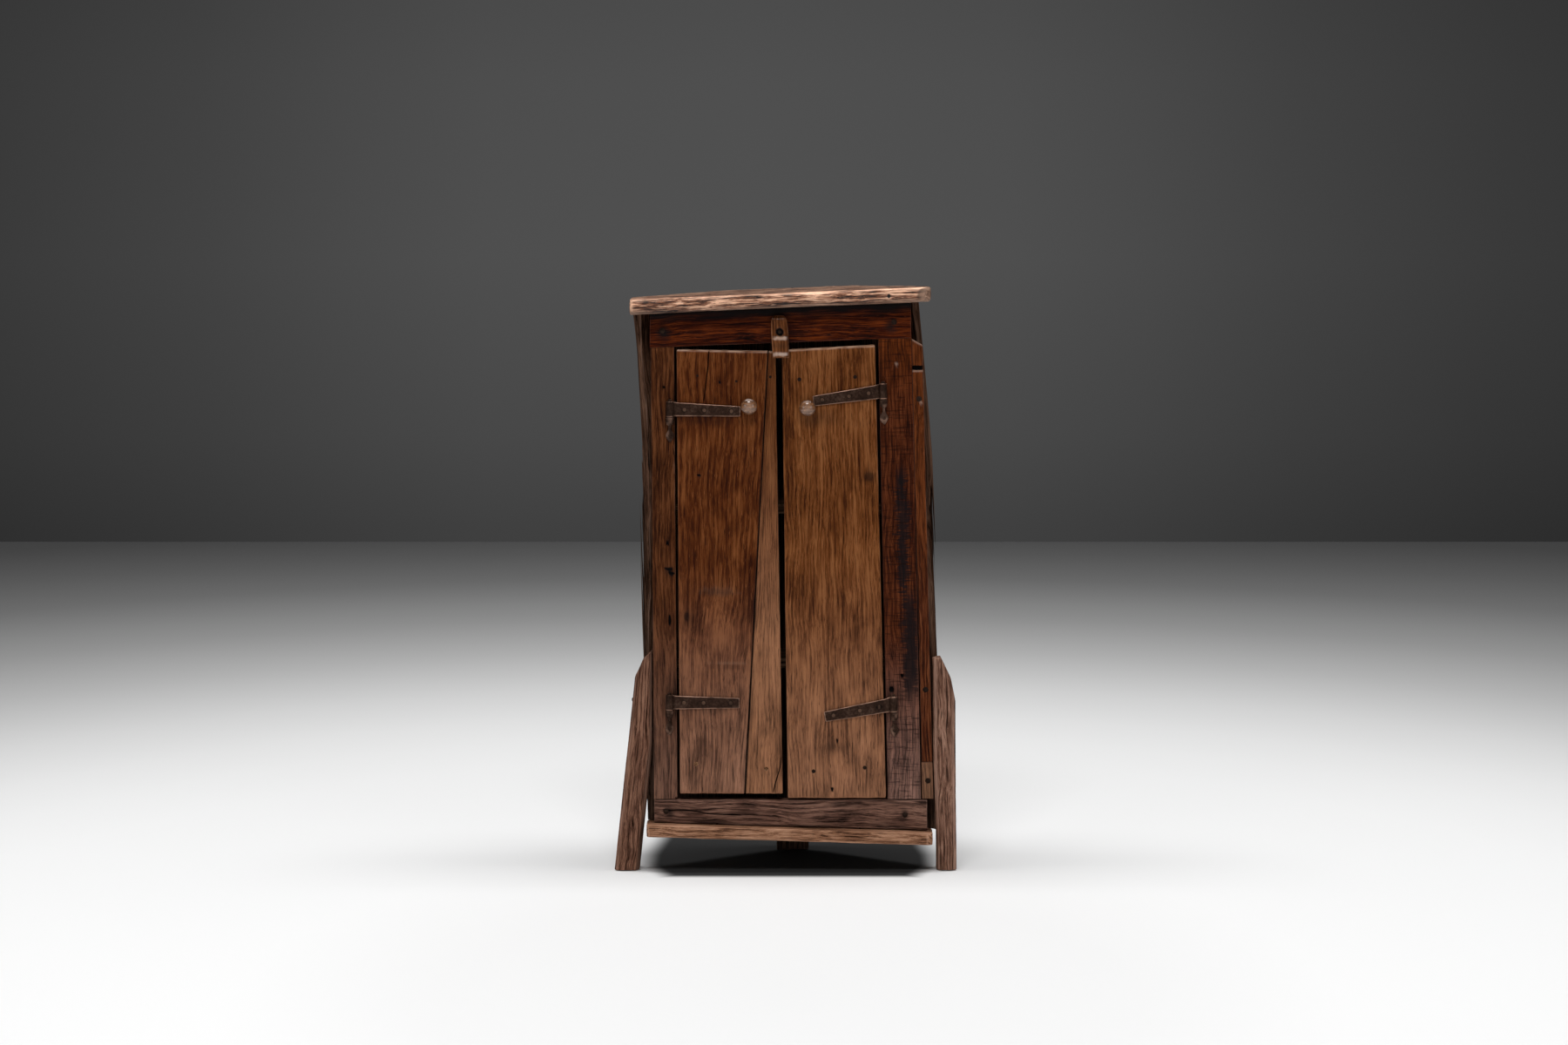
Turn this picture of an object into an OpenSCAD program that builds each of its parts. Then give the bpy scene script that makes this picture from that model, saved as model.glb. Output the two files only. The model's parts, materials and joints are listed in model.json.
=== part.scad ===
// Small rustic oak corner cabinet: two strap-hinged doors, live-edge sides and three legs.
// Millimetres. X runs to the right, Y to the back and Z up. The origin is on the floor,
// in the middle of the cabinet's width and depth.

/* [Front frame] */
// Thickness of the stiles, rails and edge battens
frame_t = 22; // [19:0.5:28]
// Outer edge of the left stile from the plumb line, at the sill
left_sill_x = 213; // [200:1:225]
// Outer edge of the left stile from the plumb line, at the head
left_head_x = 217; // [200:1:225]
// Outer edge of the right stile from the plumb line, at the sill
right_sill_x = 226; // [215:1:240]
// Outer edge of the right stile from the plumb line, at the head
right_head_x = 206; // [195:1:225]
// Width of the left stile
left_stile_w = 39; // [32:1:48]
// Width of the right stile
right_stile_w = 55; // [46:1:64]
// Width of the battens beside the right stile
batten_w = 19; // [14:1:24]
// Height of the lower batten
lower_batten_h = 61; // [40:1:90]
// Height of the top rail
top_rail_h = 60; // [48:1:72]
// Height of the top edge of the bottom rail above the floor
sill_z = 119; // [108:1:135]
// Length that each end of the bottom rail runs past the stiles
sill_horn = 10; // [2:1:14]

/* [Top and bottom boards] */
// Height of the underside of the top board, at the plumb line
top_z = 927; // [900:1:960]
// Slope of the top board, up to the right
top_slope = 2.2; // [0:0.1:3]
// Thickness of the top board
top_t = 22.5; // [18:0.5:30]
// Left end of the top board's front edge
top_left_x = 249; // [240:1:270]
// Right end of the top board's front edge
top_right_x = 237.5; // [230:1:260]
// Overhang of the top board in front of the frame
top_overhang = 30; // [29:1:45]
// Overhang of the top board behind the rear post
top_back_overhang = 8; // [2:1:20]
// Length of the top board's back edge
top_back_w = 196; // [150:1:240]
// Depth of the top board's square front part
top_square_d = 66; // [40:1:90]
// Corner cut off at the right end of the top board
top_corner = 19; // [8:1:26]
// Height of the upper face of the bottom board, at the plumb line
floor_z = 73; // [66:1:84]
// Slope of the bottom board, down to the right
floor_slope = 1.7; // [0:0.1:2.4]
// Thickness of the bottom board
floor_t = 21; // [16:0.5:26]
// Left end of the bottom board
floor_left_x = 225; // [216:1:228]
// Right end of the bottom board
floor_right_x = 244; // [238:1:246]
// Overhang of the bottom board in front of the frame
floor_overhang = 20; // [10:1:26]

/* [Sides and rear post] */
// Thickness of the side planks
plank_t = 16; // [13:0.5:20]
// Angle between the side planks and the front
plank_angle = 39; // [36:0.5:41]
// Inner corner of the left plank from the plumb line, at the floor
left_corner_x = 213.8; // [212:0.1:216]
// Lean of the left plank, out at the head
left_lean = 0.2; // [0.1:0.05:0.4]
// Inner corner of the right plank from the plumb line, at the floor
right_corner_x = 249; // [248.6:0.1:252]
// Lean of the right plank, in at the head
right_lean = 0.72; // [0.5:0.02:0.8]
// Width of the rear post
post_w = 56; // [48:1:64]
// Depth of the rear post
post_d = 45; // [36:1:56]
// Middle of the rear post, right of the plumb line
post_x = 15; // [5:1:22]
// Depth from the frame's face to the rear post
post_y = 185; // [176:1:196]

/* [Front legs] */
// Width of the left leg
left_leg_w = 42; // [36:1:46]
// Width of the right leg
right_leg_w = 34; // [30:1:38]
// Depth of the legs
leg_d = 42; // [36:1:50]
// Distance of the legs' faces in front of the frame
leg_proud = 4; // [0:1:8]
// Middle of the left foot from the plumb line
left_foot_x = 258; // [254:1:264]
// Middle of the right foot from the plumb line
right_foot_x = 267; // [265:1:274]
// Splay of the left leg
left_splay = 6.2; // [4:0.1:7]
// Splay of the right leg
right_splay = 0.6; // [0:0.1:1.4]
// Height of the left leg
left_leg_h = 370; // [330:1:400]
// Height of the right leg
right_leg_h = 353; // [330:1:400]
// Width of the chamfers along the legs
leg_chamfer = 8; // [4:0.5:11]

/* [Doors] */
// Thickness of the door boards
door_t = 20; // [16:0.5:24]
// Distance of the doors' faces in front of the frame
door_proud = 6; // [4:0.5:6.5]
// Gap between each door and its stile
side_gap = 3.5; // [2:0.5:6]
// Gap between the doors at the head
middle_gap_head = 10; // [6:0.5:14]
// Gap between the doors at the sill
middle_gap_sill = 7.4; // [5:0.2:12]
// Middle of the gap between the doors at the head, left of the plumb line
seam_head_x = 9; // [0:1:14]
// Middle of the gap between the doors at the sill, right of the plumb line
seam_sill_x = 2.3; // [0:0.1:8]
// Gap above the left door at its hinges
left_head_gap = 3.5; // [2.5:0.5:8]
// Gap above the left door at its free edge
left_free_gap = 13; // [8:0.5:16]
// Gap above the right door at its hinges
right_head_gap = 8.5; // [3:0.5:12]
// Gap above the right door at its free edge
right_free_gap = 11; // [8:0.5:16]
// Gap below the left door
left_sill_gap = 9.5; // [2:0.5:12]
// Gap below the right door
right_sill_gap = 2.2; // [1.6:0.2:12]
// Width of the left door's narrow strip at the head
strip_head_w = 10; // [8:1:30]
// Width of the left door's narrow strip at the sill
strip_sill_w = 63; // [40:1:80]
// Height of the door ledges
ledge_h = 46; // [36:1:60]
// Thickness of the door ledges
ledge_t = 14; // [10:0.5:16]
// Length of wood between a ledge's end and the door's edge
ledge_in = 17; // [15:1:24]
// Depth of the middle of the upper ledges below the head
upper_ledge_drop = 59; // [52:1:61]
// Height of the middle of the lower ledges above the sill
lower_ledge_rise = 53; // [46:1:76]

/* [Hinges] */
// Radius of the pintle pins
pin_r = 3.5; // [2.5:0.25:4]
// Radius of the strap eyes
eye_r = 6.4; // [6:0.1:6.8]
// Height of the strap eyes
eye_h = 27; // [22:1:32]
// Distance of the hinge pins in front of the frame
pin_proud = 8.5; // [8:0.1:10]
// Length of the straps from the pin
strap_l = 115; // [95:1:125]
// Width of the straps at the pin
strap_root_w = 24; // [18:1:25]
// Width of the straps at the tip
strap_tip_w = 17; // [10:1:20]
// Thickness of the straps
strap_t = 3; // [2:0.25:3.5]
// Distance of the upper pins from the stile's inner edge
upper_pin_in = 7.7; // [7:0.1:10]
// Distance of the lower pins from the stile's inner edge
lower_pin_in = 12.3; // [8:0.1:14]
// Depth of the left door's upper hinge below the head
left_upper_drop = 107; // [103:1:122]
// Height of the left door's lower hinge above the sill
left_lower_rise = 161; // [146:1:201]
// Depth of the right door's upper hinge below the head
right_upper_drop = 78; // [77:1:167]
// Height of the right door's lower hinge above the sill
right_lower_rise = 158; // [146:1:201]
// Diameter of the collars under the eyes
collar_d = 13; // [11:0.5:13.5]
// Width of the pintles' tails
tail_w = 6; // [4:0.5:7]
// Width of the leaf at the end of a tail
leaf_w = 14; // [11:0.5:14]
// Height of the leaf at the end of a tail
leaf_h = 21; // [18:1:26]
// Length of the pintle's spike in the stile
spike_l = 16; // [10:0.5:17]

/* [Knobs and turn button] */
// Diameter of the knobs
knob_d = 26.5; // [22:0.5:30]
// Distance that the knobs stand out from the doors
knob_out = 22; // [18:0.5:22]
// Diameter of the tenons on the knobs
knob_tenon_d = 10; // [7:0.5:12]
// Depth of the left knob below the head
left_knob_drop = 102; // [99:1:147]
// Depth of the right knob below the head
right_knob_drop = 104.5; // [103:0.5:147]
// Distance of the left knob from its door's free edge
left_knob_in = 44.5; // [36:0.5:46]
// Distance of the right knob from its door's free edge
right_knob_in = 40.5; // [34:0.5:46]
// Width of the turn button
button_w = 29; // [24:1:32]
// Length of the turn button above its nail
button_up = 27; // [22:1:28]
// Length of the turn button below its nail
button_down = 42; // [38:1:42]
// Height of the nail in the turn button above the head
button_rise = 18; // [17:1:19]
// Place of the turn button, left of the plumb line
button_x = 7; // [4:1:10]
// Thickness of the turn button's upper part
button_t = 13.5; // [10:0.5:15]
// Thickness of the turn button's foot in front of the doors
button_foot_t = 12; // [8:0.5:13]

/* [Shelves] */
// Thickness of the shelves
shelf_t = 16; // [12:0.5:20]
// Height of the upper face of the lower shelf
lower_shelf_z = 345; // [320:1:400]
// Height of the upper face of the upper shelf
upper_shelf_z = 600; // [560:1:680]
// Distance of the shelves' front edges behind the frame
shelf_back = 26; // [22:1:40]
// Width and height of the shelf cleats
cleat = 18; // [14:1:22]
// Length of the shelf cleats
cleat_l = 150; // [110:1:160]

/* [Nails] */
// Radius of the nail shanks
nail_r = 1.6; // [1.2:0.1:1.8]
// Radius of the nail heads
head_r = 4.6; // [3.6:0.1:5]
// Height of the nail heads
head_h = 2.2; // [1.4:0.1:2.4]
// Radius of the spikes that hold the legs
spike_r = 2.2; // [1.8:0.1:2.6]
// Radius of the wooden pegs
peg_r = 4; // [3:0.25:4.5]

/* [Fits] */
// Gap where one piece seats on another
seat = 0.3; // [0.2:0.05:0.4]
// Gap around a nail, peg or tenon in its hole
fit = 0.1; // [0.05:0.05:0.2]
// Gap around the lap joints
lap_gap = 0.2; // [0.1:0.05:0.4]
// Running gap of the hinge pins and of the turn button's nail
running = 0.08; // [0.05:0.01:0.1]

/* [Hidden] */
$fn = 48;
LEFT = -1;
RIGHT = 1;
dark_oak = "#4a2d1c";
red_oak = "#5a2f1d";
warm_oak = "#6b4526";
pale_oak = "#7a5331";
iron = "#3a322d";

// Heights of the head and of the sill, and what runs between them in a straight line
head_z = top_z - top_rail_h;
function between(sill, head, z) = sill + (head - sill) * (z - sill_z) / (head_z - sill_z);
function left_out(z) = -between(left_sill_x, left_head_x, z);
function left_in(z) = left_out(z) + left_stile_w;
function right_out(z) = between(right_sill_x, right_head_x, z);
function right_in(z) = right_out(z) - right_stile_w;
function stile_in(side, z) = side == LEFT ? left_in(z) : right_in(z);
function stile_out(side, z) = side == LEFT ? left_out(z) : right_out(z);
function stile_middle(side, z) = (stile_in(side, z) + stile_out(side, z)) / 2;
function seam(z) = between(seam_sill_x, -seam_head_x, z);
function middle_gap(z) = between(middle_gap_sill, middle_gap_head, z);
function strip_w(z) = between(strip_sill_w, strip_head_w, z);

// Sloping lines of the top board, the top rail and the bottom board
function top_under(x) = top_z + x * tan(top_slope);
function head(x) = top_under(x) - top_rail_h;
function floor_top(x) = floor_z - x * tan(floor_slope);

// Heights of what keeps its place below the head or above the sill
upper_ledge_z = head_z - upper_ledge_drop;
lower_ledge_z = sill_z + lower_ledge_rise;
left_upper_z = head_z - left_upper_drop;
left_lower_z = sill_z + left_lower_rise;
right_upper_z = head_z - right_upper_drop;
right_lower_z = sill_z + right_lower_rise;
left_knob_z = head_z - left_knob_drop;
right_knob_z = head_z - right_knob_drop;
button_z = head_z + button_rise;

// Sizes that several pieces share
post_left = post_x - post_w / 2;
post_right = post_x + post_w / 2;
post_back = post_y + post_d;
top_back = post_back + top_back_overhang;
ledge_back = door_t - door_proud + ledge_t;
shelf_front = frame_t + shelf_back;
left_foot_out = left_foot_x + left_leg_w / 2 / cos(left_splay);
right_foot_out = right_foot_x + right_leg_w / 2 / cos(right_splay);
middle_x = (right_foot_out - left_foot_out) / 2;
middle_y = (top_back - top_overhang) / 2;
far = 2000;
cut_gap = 0.01;

// Moves a piece from the plumb line and the frame's face to the origin
module placed() {
    translate([-middle_x, -middle_y, 0]) children();
}

// An outline in the front view, given a thickness towards the back
module slab(points, front, thick) {
    translate([0, front + thick, 0]) rotate([90, 0, 0]) linear_extrude(thick) polygon(points);
}

// Everything above the underside of the top board, and below the upper face of the bottom board
module above_top(gap = 0) {
    translate([0, 0, top_z - gap]) rotate([0, -top_slope, 0])
        translate([-far / 2, -far / 2, 0]) cube(far);
}
module below_floor(gap = 0) {
    translate([0, 0, floor_z + gap]) rotate([0, floor_slope, 0])
        translate([-far / 2, -far / 2, -far]) cube(far);
}

// Axes of a side plank: x along it to the back, y out through its thickness
module plank_axes(side) {
    corner = side == LEFT ? -left_corner_x : right_corner_x;
    lean = side == LEFT ? -left_lean : right_lean;
    translate([corner, frame_t, 0]) mirror([side == RIGHT ? 1 : 0, 0, 0])
        rotate([0, 0, plank_angle]) rotate([lean, 0, 0]) children();
}

// Everything outside the inner face of a side plank
module outside_plank(side, gap = 0) {
    plank_axes(side) translate([-far / 2, -gap, -far / 2]) cube(far);
}
module outside_planks(gap = 0) {
    outside_plank(LEFT, gap);
    outside_plank(RIGHT, gap);
}

// A nail that goes in along +z from its head's seat at z = 0, and the hole for it
module nail(length, r = nail_r) {
    tip = 4 * r;
    translate([0, 0, -head_h]) cylinder(h = head_h, r1 = head_r * 0.45, r2 = head_r, $fn = 32);
    translate([0, 0, -cut_gap]) cylinder(h = length - tip + cut_gap, r = r, $fn = 24);
    translate([0, 0, length - tip]) cylinder(h = tip, r1 = r, r2 = r * 0.3, $fn = 24);
}
module nail_hole(length, r = nail_r) {
    translate([0, 0, -1]) cylinder(h = length + 1 + seat, r = r + fit, $fn = 24);
}

// Lets in the head of a nail, from outside the piece
module head_seat(reach = 60) {
    translate([0, 0, -reach]) cylinder(h = reach, r = head_r + 1, $fn = 32);
}

// Points a nail into the front of the cabinet at a place in the front view
module into_front(x, z, y = 0) {
    translate([x, y, z]) rotate([-90, 0, 0]) children();
}

/* Places of the nails, spikes and pegs */

nail_short = 2;
frame_nail_l = frame_t - nail_short;
module at_frame_nails() {
    for (side = [LEFT, RIGHT]) {
        x = stile_middle(side, head_z);
        into_front(x, head(x) + top_rail_h * 0.45) children();
        sill_x = stile_middle(side, sill_z);
        into_front(sill_x, (floor_top(sill_x) + sill_z) / 2) children();
    }
}

top_nail_reach = 28;
top_nail_l = top_t + top_nail_reach;
top_nail_x = [-120, 105];
plank_nail_in = 96;
// The heads in the top board lie this much below its face
head_sink = 0.2;
module at_top_nails() {
    translate([0, 0, top_z]) rotate([0, -top_slope, 0]) translate([0, 0, top_t - head_h - head_sink]) {
        for (x = top_nail_x) translate([x, frame_t * 0.35, 0]) rotate([180, 0, 0]) children();
        translate([post_x, post_y + post_d / 2, 0]) rotate([180, 0, 0]) children();
    }
    for (side = [LEFT, RIGHT]) plank_axes(side) translate([plank_nail_in, plank_t / 2, 0])
        top_nail_height(side) rotate([180, 0, 0]) children();
}

// Raises a nail in a plank's own axes to the upper face of the top board
module top_nail_height(side) {
    corner = side == LEFT ? -left_corner_x : right_corner_x;
    x = corner - side * (plank_nail_in * cos(plank_angle) - plank_t / 2 * sin(plank_angle));
    sink = head_h + head_sink + head_r * sin(top_slope);
    translate([0, 0, top_under(x) + top_t / cos(top_slope) - sink]) children();
}

bottom_nail_reach = 24;
bottom_nail_l = floor_t + bottom_nail_reach;
bottom_nail_x = [-110, 125];
bottom_side_nail_y = 98;
module at_bottom_nails() {
    translate([0, 0, floor_z]) rotate([0, floor_slope, 0]) translate([0, 0, -floor_t]) {
        for (x = bottom_nail_x) translate([x, frame_t / 2, 0]) children();
        for (side = [LEFT, RIGHT])
            translate([plank_middle_x(side, bottom_side_nail_y), bottom_side_nail_y, 0]) children();
    }
}

// Where the middle of a side plank's thickness is, at the floor
function plank_middle_x(side, y) = side * ((side == LEFT ? left_corner_x : right_corner_x)
    - (y - frame_t) / tan(plank_angle) + plank_t / 2 / sin(plank_angle));

plank_nail_reach = 28;
plank_nail_l = plank_t + plank_nail_reach;
plank_middle_z = (floor_z + top_z) / 2;
front_nail_rise = 137;
front_nail_drop = 167;
// Behind the frame's back face at the foot, the middle and the head
left_nail_in = [10, 10, 10];
right_nail_in = [12, 26, 32];
module at_front_plank_nails() {
    heights = [floor_z + front_nail_rise, plank_middle_z - 20, top_z - front_nail_drop];
    for (side = [LEFT, RIGHT], level = [0:2])
        plank_axes(side) translate([(side == LEFT ? left_nail_in : right_nail_in)[level], plank_t,
            heights[level]]) rotate([90, 0, 0]) children();
}
post_nail_l = 36;
post_nail_rise = 117;
post_nail_drop = 107;
post_nail_out = 10;
post_nail_y = 13;
module at_rear_plank_nails() {
    for (side = [LEFT, RIGHT])
        for (z = [floor_z + post_nail_rise, plank_middle_z, top_z - post_nail_drop])
            translate([post_x + side * (post_w / 2 + post_nail_out), post_y + post_nail_y, z])
                rotate([0, -side * 90, 0]) children();
}

batten_nail_reach = 20;
batten_nail_l = frame_t + batten_nail_reach;
batten_nail_rise = 181;
batten_nail_drop = 91;
module at_batten_nails() {
    for (z = [sill_z + lower_batten_h / 2, sill_z + batten_nail_rise, head_z - batten_nail_drop])
        into_front(right_out(z) + batten_w * 0.55, z) children();
}

leg_spike_l = 64;
leg_spike_drop = [128, 71];
left_spike_out = 36;
right_spike_out = 30;
module at_leg_spikes() {
    for (side = [LEFT, RIGHT], drop = leg_spike_drop) plank_axes(side)
        translate([side == LEFT ? -left_spike_out : -right_spike_out, plank_t * 0.55,
            min(left_leg_h, right_leg_h) - drop]) rotate([0, 90, 0]) children();
}

cleat_nail_l = cleat + plank_t - 5;
module at_cleat_nails(side, shelf_z) {
    for (x = [0.2, 0.75]) plank_axes(side)
        translate([cleat_start + x * cleat_l, -seat - cleat, shelf_z - shelf_t - cleat / 2])
            rotate([-90, 0, 0]) children();
}

button_nail_reach = 20;
button_nail_l = button_t + button_nail_reach;
module at_button_nail() {
    into_front(-button_x, button_z, -button_t - 1) children();
}

/* Top and bottom boards */

module top_board() placed() color(warm_oak) difference() {
    translate([0, 0, top_z]) rotate([0, -top_slope, 0]) linear_extrude(top_t) polygon([
        [-top_left_x + 4, -top_overhang], [top_right_x - top_corner, -top_overhang],
        [top_right_x, -top_overhang + top_corner * 0.3], [top_right_x, top_square_d - top_overhang],
        [post_x + top_back_w / 2, top_back], [post_x - top_back_w / 2, top_back],
        [-top_left_x, top_square_d - top_overhang], [-top_left_x, -top_overhang + 5]
    ]);
    at_top_nails() union() {
        nail_hole(top_nail_l);
        head_seat(10);
    }
}

// The bottom board runs under the frame and the planks, and stops at the rear post
module bottom_board() placed() color(dark_oak) difference() {
    run = cos(plank_angle) / sin(plank_angle);
    outer = plank_t / sin(plank_angle);
    left_edge = -left_corner_x - outer;
    right_edge = right_corner_x + outer;
    back = post_y - seat;
    translate([0, 0, floor_z]) rotate([0, floor_slope, 0]) translate([0, 0, -floor_t])
        linear_extrude(floor_t) polygon([
            [-floor_left_x + 4, -floor_overhang], [floor_right_x - 10, -floor_overhang],
            [floor_right_x, -floor_overhang + 6],
            [floor_right_x, frame_t + (right_edge - floor_right_x) / run],
            [right_edge - (back - frame_t) * run, back], [left_edge + (back - frame_t) * run, back],
            [-floor_left_x, frame_t + max(0, -floor_left_x - left_edge) / run],
            [-floor_left_x, -floor_overhang + 5]
        ]);
    at_bottom_nails() nail_hole(bottom_nail_l);
}

/* Front frame, half-lapped at its four corners */

lap = frame_t / 2;
module top_rail() placed() color(red_oak) difference() {
    x0 = left_out(head_z) - 1;
    x1 = right_out(head_z);
    slab([[x0, head(x0)], [x1, head(x1)], [x1, top_under(x1) - seat], [x0, top_under(x0) - seat]],
        0, frame_t);
    translate([x0 - 1, lap - lap_gap / 2, head_z - 60])
        cube([left_in(head_z) - x0 + 1 + lap_gap, frame_t, 200]);
    translate([right_in(head_z) - lap_gap, lap - lap_gap / 2, head_z - 60])
        cube([right_stile_w + 10, frame_t, 200]);
    at_frame_nails() nail_hole(frame_nail_l);
    at_top_nails() nail_hole(top_nail_l);
    at_button_nail() nail_hole(button_nail_l, button_nail_r);
}

module bottom_rail() placed() color(dark_oak) difference() {
    x0 = left_out(sill_z) - 1;
    x1 = right_out(sill_z) + sill_horn;
    slab([[x0, floor_top(x0) + seat], [x1, floor_top(x1) + seat], [x1, sill_z], [x0, sill_z]],
        0, frame_t);
    translate([x0 - 1, lap - lap_gap / 2, 0])
        cube([left_in(sill_z) - x0 + 1 + lap_gap, frame_t, sill_z + 10]);
    translate([right_in(sill_z) - lap_gap, lap - lap_gap / 2, 0])
        cube([right_stile_w + sill_horn + 10, frame_t, sill_z + 10]);
    at_frame_nails() nail_hole(frame_nail_l);
    at_bottom_nails() nail_hole(bottom_nail_l);
}

// A stile between the rails, with its back half running on behind both of them
module stile(side) difference() {
    a = min(stile_in(side, sill_z), stile_out(side, sill_z));
    b = max(stile_in(side, sill_z), stile_out(side, sill_z));
    c = max(stile_in(side, head_z), stile_out(side, head_z));
    d = min(stile_in(side, head_z), stile_out(side, head_z));
    union() {
        slab([[a, sill_z + seat], [b, sill_z + seat], [c, min(head_z, head(c) - seat)],
            [c, head(c) - seat], [d, head(d) - seat], [d, min(head_z, head(d) - seat)]], 0, frame_t);
        slab([[a, floor_top(a) + seat], [b, floor_top(b) + seat], [b, sill_z], [c, head_z],
            [c, top_under(c) - seat], [d, top_under(d) - seat], [d, head_z], [a, sill_z]],
            lap + lap_gap / 2, frame_t - lap - lap_gap / 2);
    }
    at_frame_nails() nail_hole(frame_nail_l);
    at_front_plank_nails() nail_hole(plank_nail_l);
    at_top_nails() nail_hole(top_nail_l);
    for (upper = [true, false]) hinge_axes(side, upper) {
        spike(fit);
        at_leaf_nail() nail_hole(leaf_nail_l);
    }
}
module left_stile() placed() color(warm_oak) stile(LEFT);
module right_stile() placed() color(red_oak) stile(RIGHT);

// Two battens fill the edge between the right stile and the side plank
module edge_batten(z0, z1, cut) difference() {
    slab([[right_out(z0) + seat, z0], [right_out(z0) + batten_w, z0],
        [right_out(z1) + batten_w, z1 - cut], [right_out(z1) + seat, z1]], 0, frame_t);
    at_batten_nails() nail_hole(batten_nail_l);
    at_front_plank_nails() nail_hole(plank_nail_l);
}
batten_joint_z = sill_z + lower_batten_h;
notch_z = head_z - 36;
module upper_edge_batten() placed() color(red_oak) difference() {
    top = head(right_out(head_z)) - 1;
    edge_batten(batten_joint_z + seat, top, 11);
    translate([right_out(notch_z) - 1, -1, notch_z]) cube([batten_w + 5, 6, 7]);
}
module lower_edge_batten() placed() color(red_oak)
    edge_batten(sill_z + seat, batten_joint_z, 0);

/* Side planks with live front edges, and the rear post */

// The live edges: a share of the height, and the reach in front of the frame's back face
left_edge = [[0.043, 0], [0.205, 1], [0.302, 6], [0.392, 10], [0.453, 8], [0.516, 3.5],
    [0.602, 5.5], [0.675, 2.5], [0.725, 4], [0.773, 7], [0.847, 12], [0.92, 20], [1.057, 23]];
right_edge = [[0.043, 0], [0.302, 0], [0.39, -6], [0.43, -9.5], [0.483, -11], [0.539, -14],
    [0.59, -19], [0.65, -14], [0.707, -13.5], [0.762, -15], [0.798, -18.5], [0.835, -22],
    [0.872, -27], [0.946, -34], [0.983, -39.5], [1.057, -44]];
function live_edge(side) = side == LEFT ? left_edge : right_edge;

module plank_blank(side, y0, y1, grow = 0) {
    length = (post_back - frame_t) / sin(plank_angle);
    low = live_edge(side)[0][0] * top_z;
    high = live_edge(side)[len(live_edge(side)) - 1][0] * top_z;
    plank_axes(side) slab(concat([for (p = live_edge(side)) [-p[1] - grow, p[0] * top_z]],
        [[length, high], [length, low]]), y0, y1 - y0);
}

module side_plank(side) difference() {
    plank_blank(side, 0, plank_t);
    above_top(seat);
    below_floor(seat);
    translate([side == LEFT ? post_left - seat : post_right + seat - far, 0, -far / 2])
        cube(far);
    at_front_plank_nails() nail_hole(plank_nail_l);
    at_rear_plank_nails() union() {
        nail_hole(post_nail_l);
        head_seat();
    }
    at_top_nails() nail_hole(top_nail_l);
    at_bottom_nails() nail_hole(bottom_nail_l);
    at_batten_nails() nail_hole(batten_nail_l);
    at_leg_spikes() nail_hole(leg_spike_l, spike_r);
    at_cleat_nails(side, lower_shelf_z) nail_hole(cleat_nail_l);
    at_cleat_nails(side, upper_shelf_z) nail_hole(cleat_nail_l);
}
module left_side_plank() placed() color(dark_oak) side_plank(LEFT);
module right_side_plank() placed() color(dark_oak) side_plank(RIGHT);

module rear_post() placed() color(dark_oak) difference() {
    translate([post_left, post_y, 0]) cube([post_w, post_d, top_z + 100]);
    above_top(seat);
    at_rear_plank_nails() nail_hole(post_nail_l);
    at_top_nails() nail_hole(top_nail_l);
}

/* Front legs: chamfered posts outside the corners, whittled at the top and notched over the planks */

module leg(side, foot_x, width, splay, height, whittle) difference() {
    c = leg_chamfer;
    cut = 10;
    w = width / 2;
    d = leg_d;
    translate([side * foot_x, -leg_proud, 0]) rotate([0, -side * splay, 0])
        translate([0, 0, -40]) linear_extrude(height + 80) polygon([
            [-w + c, 0], [w - c, 0], [w, c], [w, d - c], [w - c, d], [-w + c, d],
            [-w, d - c], [-w, c]
        ]);
    translate([-far / 2, -far / 2, -far]) cube(far);
    top_x = foot_x + w / cos(splay) - height * tan(splay);
    slab([
        [side * (top_x + 60), height - whittle[1] - 90], [side * top_x, height - whittle[1]],
        [side * (top_x - whittle[0] * 0.3), height - whittle[1] * 0.5],
        [side * (top_x - whittle[0]), height], [side * (top_x - 120), height],
        [side * (top_x - 120), height + 120], [side * (top_x + 60), height + 120]
    ], -50, 200);
    slab([
        [side * stile_edge(side, -cut), -cut], [side * stile_edge(side, top_z), top_z],
        [0, top_z], [0, -cut]
    ], -50, 50 + frame_t + seat);
    plank_blank(side, -80, plank_t + seat, seat);
    at_leg_spikes() union() {
        nail_hole(leg_spike_l, spike_r);
        head_seat();
    }
}
function stile_edge(side, z) = side == LEFT ? -left_out(z) + seat : right_out(z) + batten_w + seat;
module left_leg() placed() color(pale_oak)
    leg(LEFT, left_foot_x, left_leg_w, left_splay, left_leg_h, [28, 41]);
module right_leg() placed() color(pale_oak)
    leg(RIGHT, right_foot_x, right_leg_w, right_splay, right_leg_h, [24, 70]);

/* Shelves on cleats */

cleat_start = 46;
module shelf(top) difference() {
    translate([-far / 2, shelf_front, top - shelf_t])
        cube([far, post_y - seat - shelf_front, shelf_t]);
    outside_planks(seat);
}
module lower_shelf() placed() color(dark_oak) shelf(lower_shelf_z);
module upper_shelf() placed() color(dark_oak) shelf(upper_shelf_z);

module shelf_cleat(side, shelf_z) difference() {
    plank_axes(side) translate([cleat_start, -seat - cleat, shelf_z - shelf_t - seat - cleat])
        cube([cleat_l, cleat, cleat]);
    translate([-far / 2, -far / 2, shelf_z - shelf_t - seat]) cube(far);
    at_cleat_nails(side, shelf_z) nail_hole(cleat_nail_l);
}
module lower_left_cleat() placed() color(dark_oak) shelf_cleat(LEFT, lower_shelf_z);
module lower_right_cleat() placed() color(dark_oak) shelf_cleat(RIGHT, lower_shelf_z);
module upper_left_cleat() placed() color(dark_oak) shelf_cleat(LEFT, upper_shelf_z);
module upper_right_cleat() placed() color(dark_oak) shelf_cleat(RIGHT, upper_shelf_z);

/* Hinges: a forged strap on the door turns on a pintle with a rat tail and a leaf */

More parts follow.
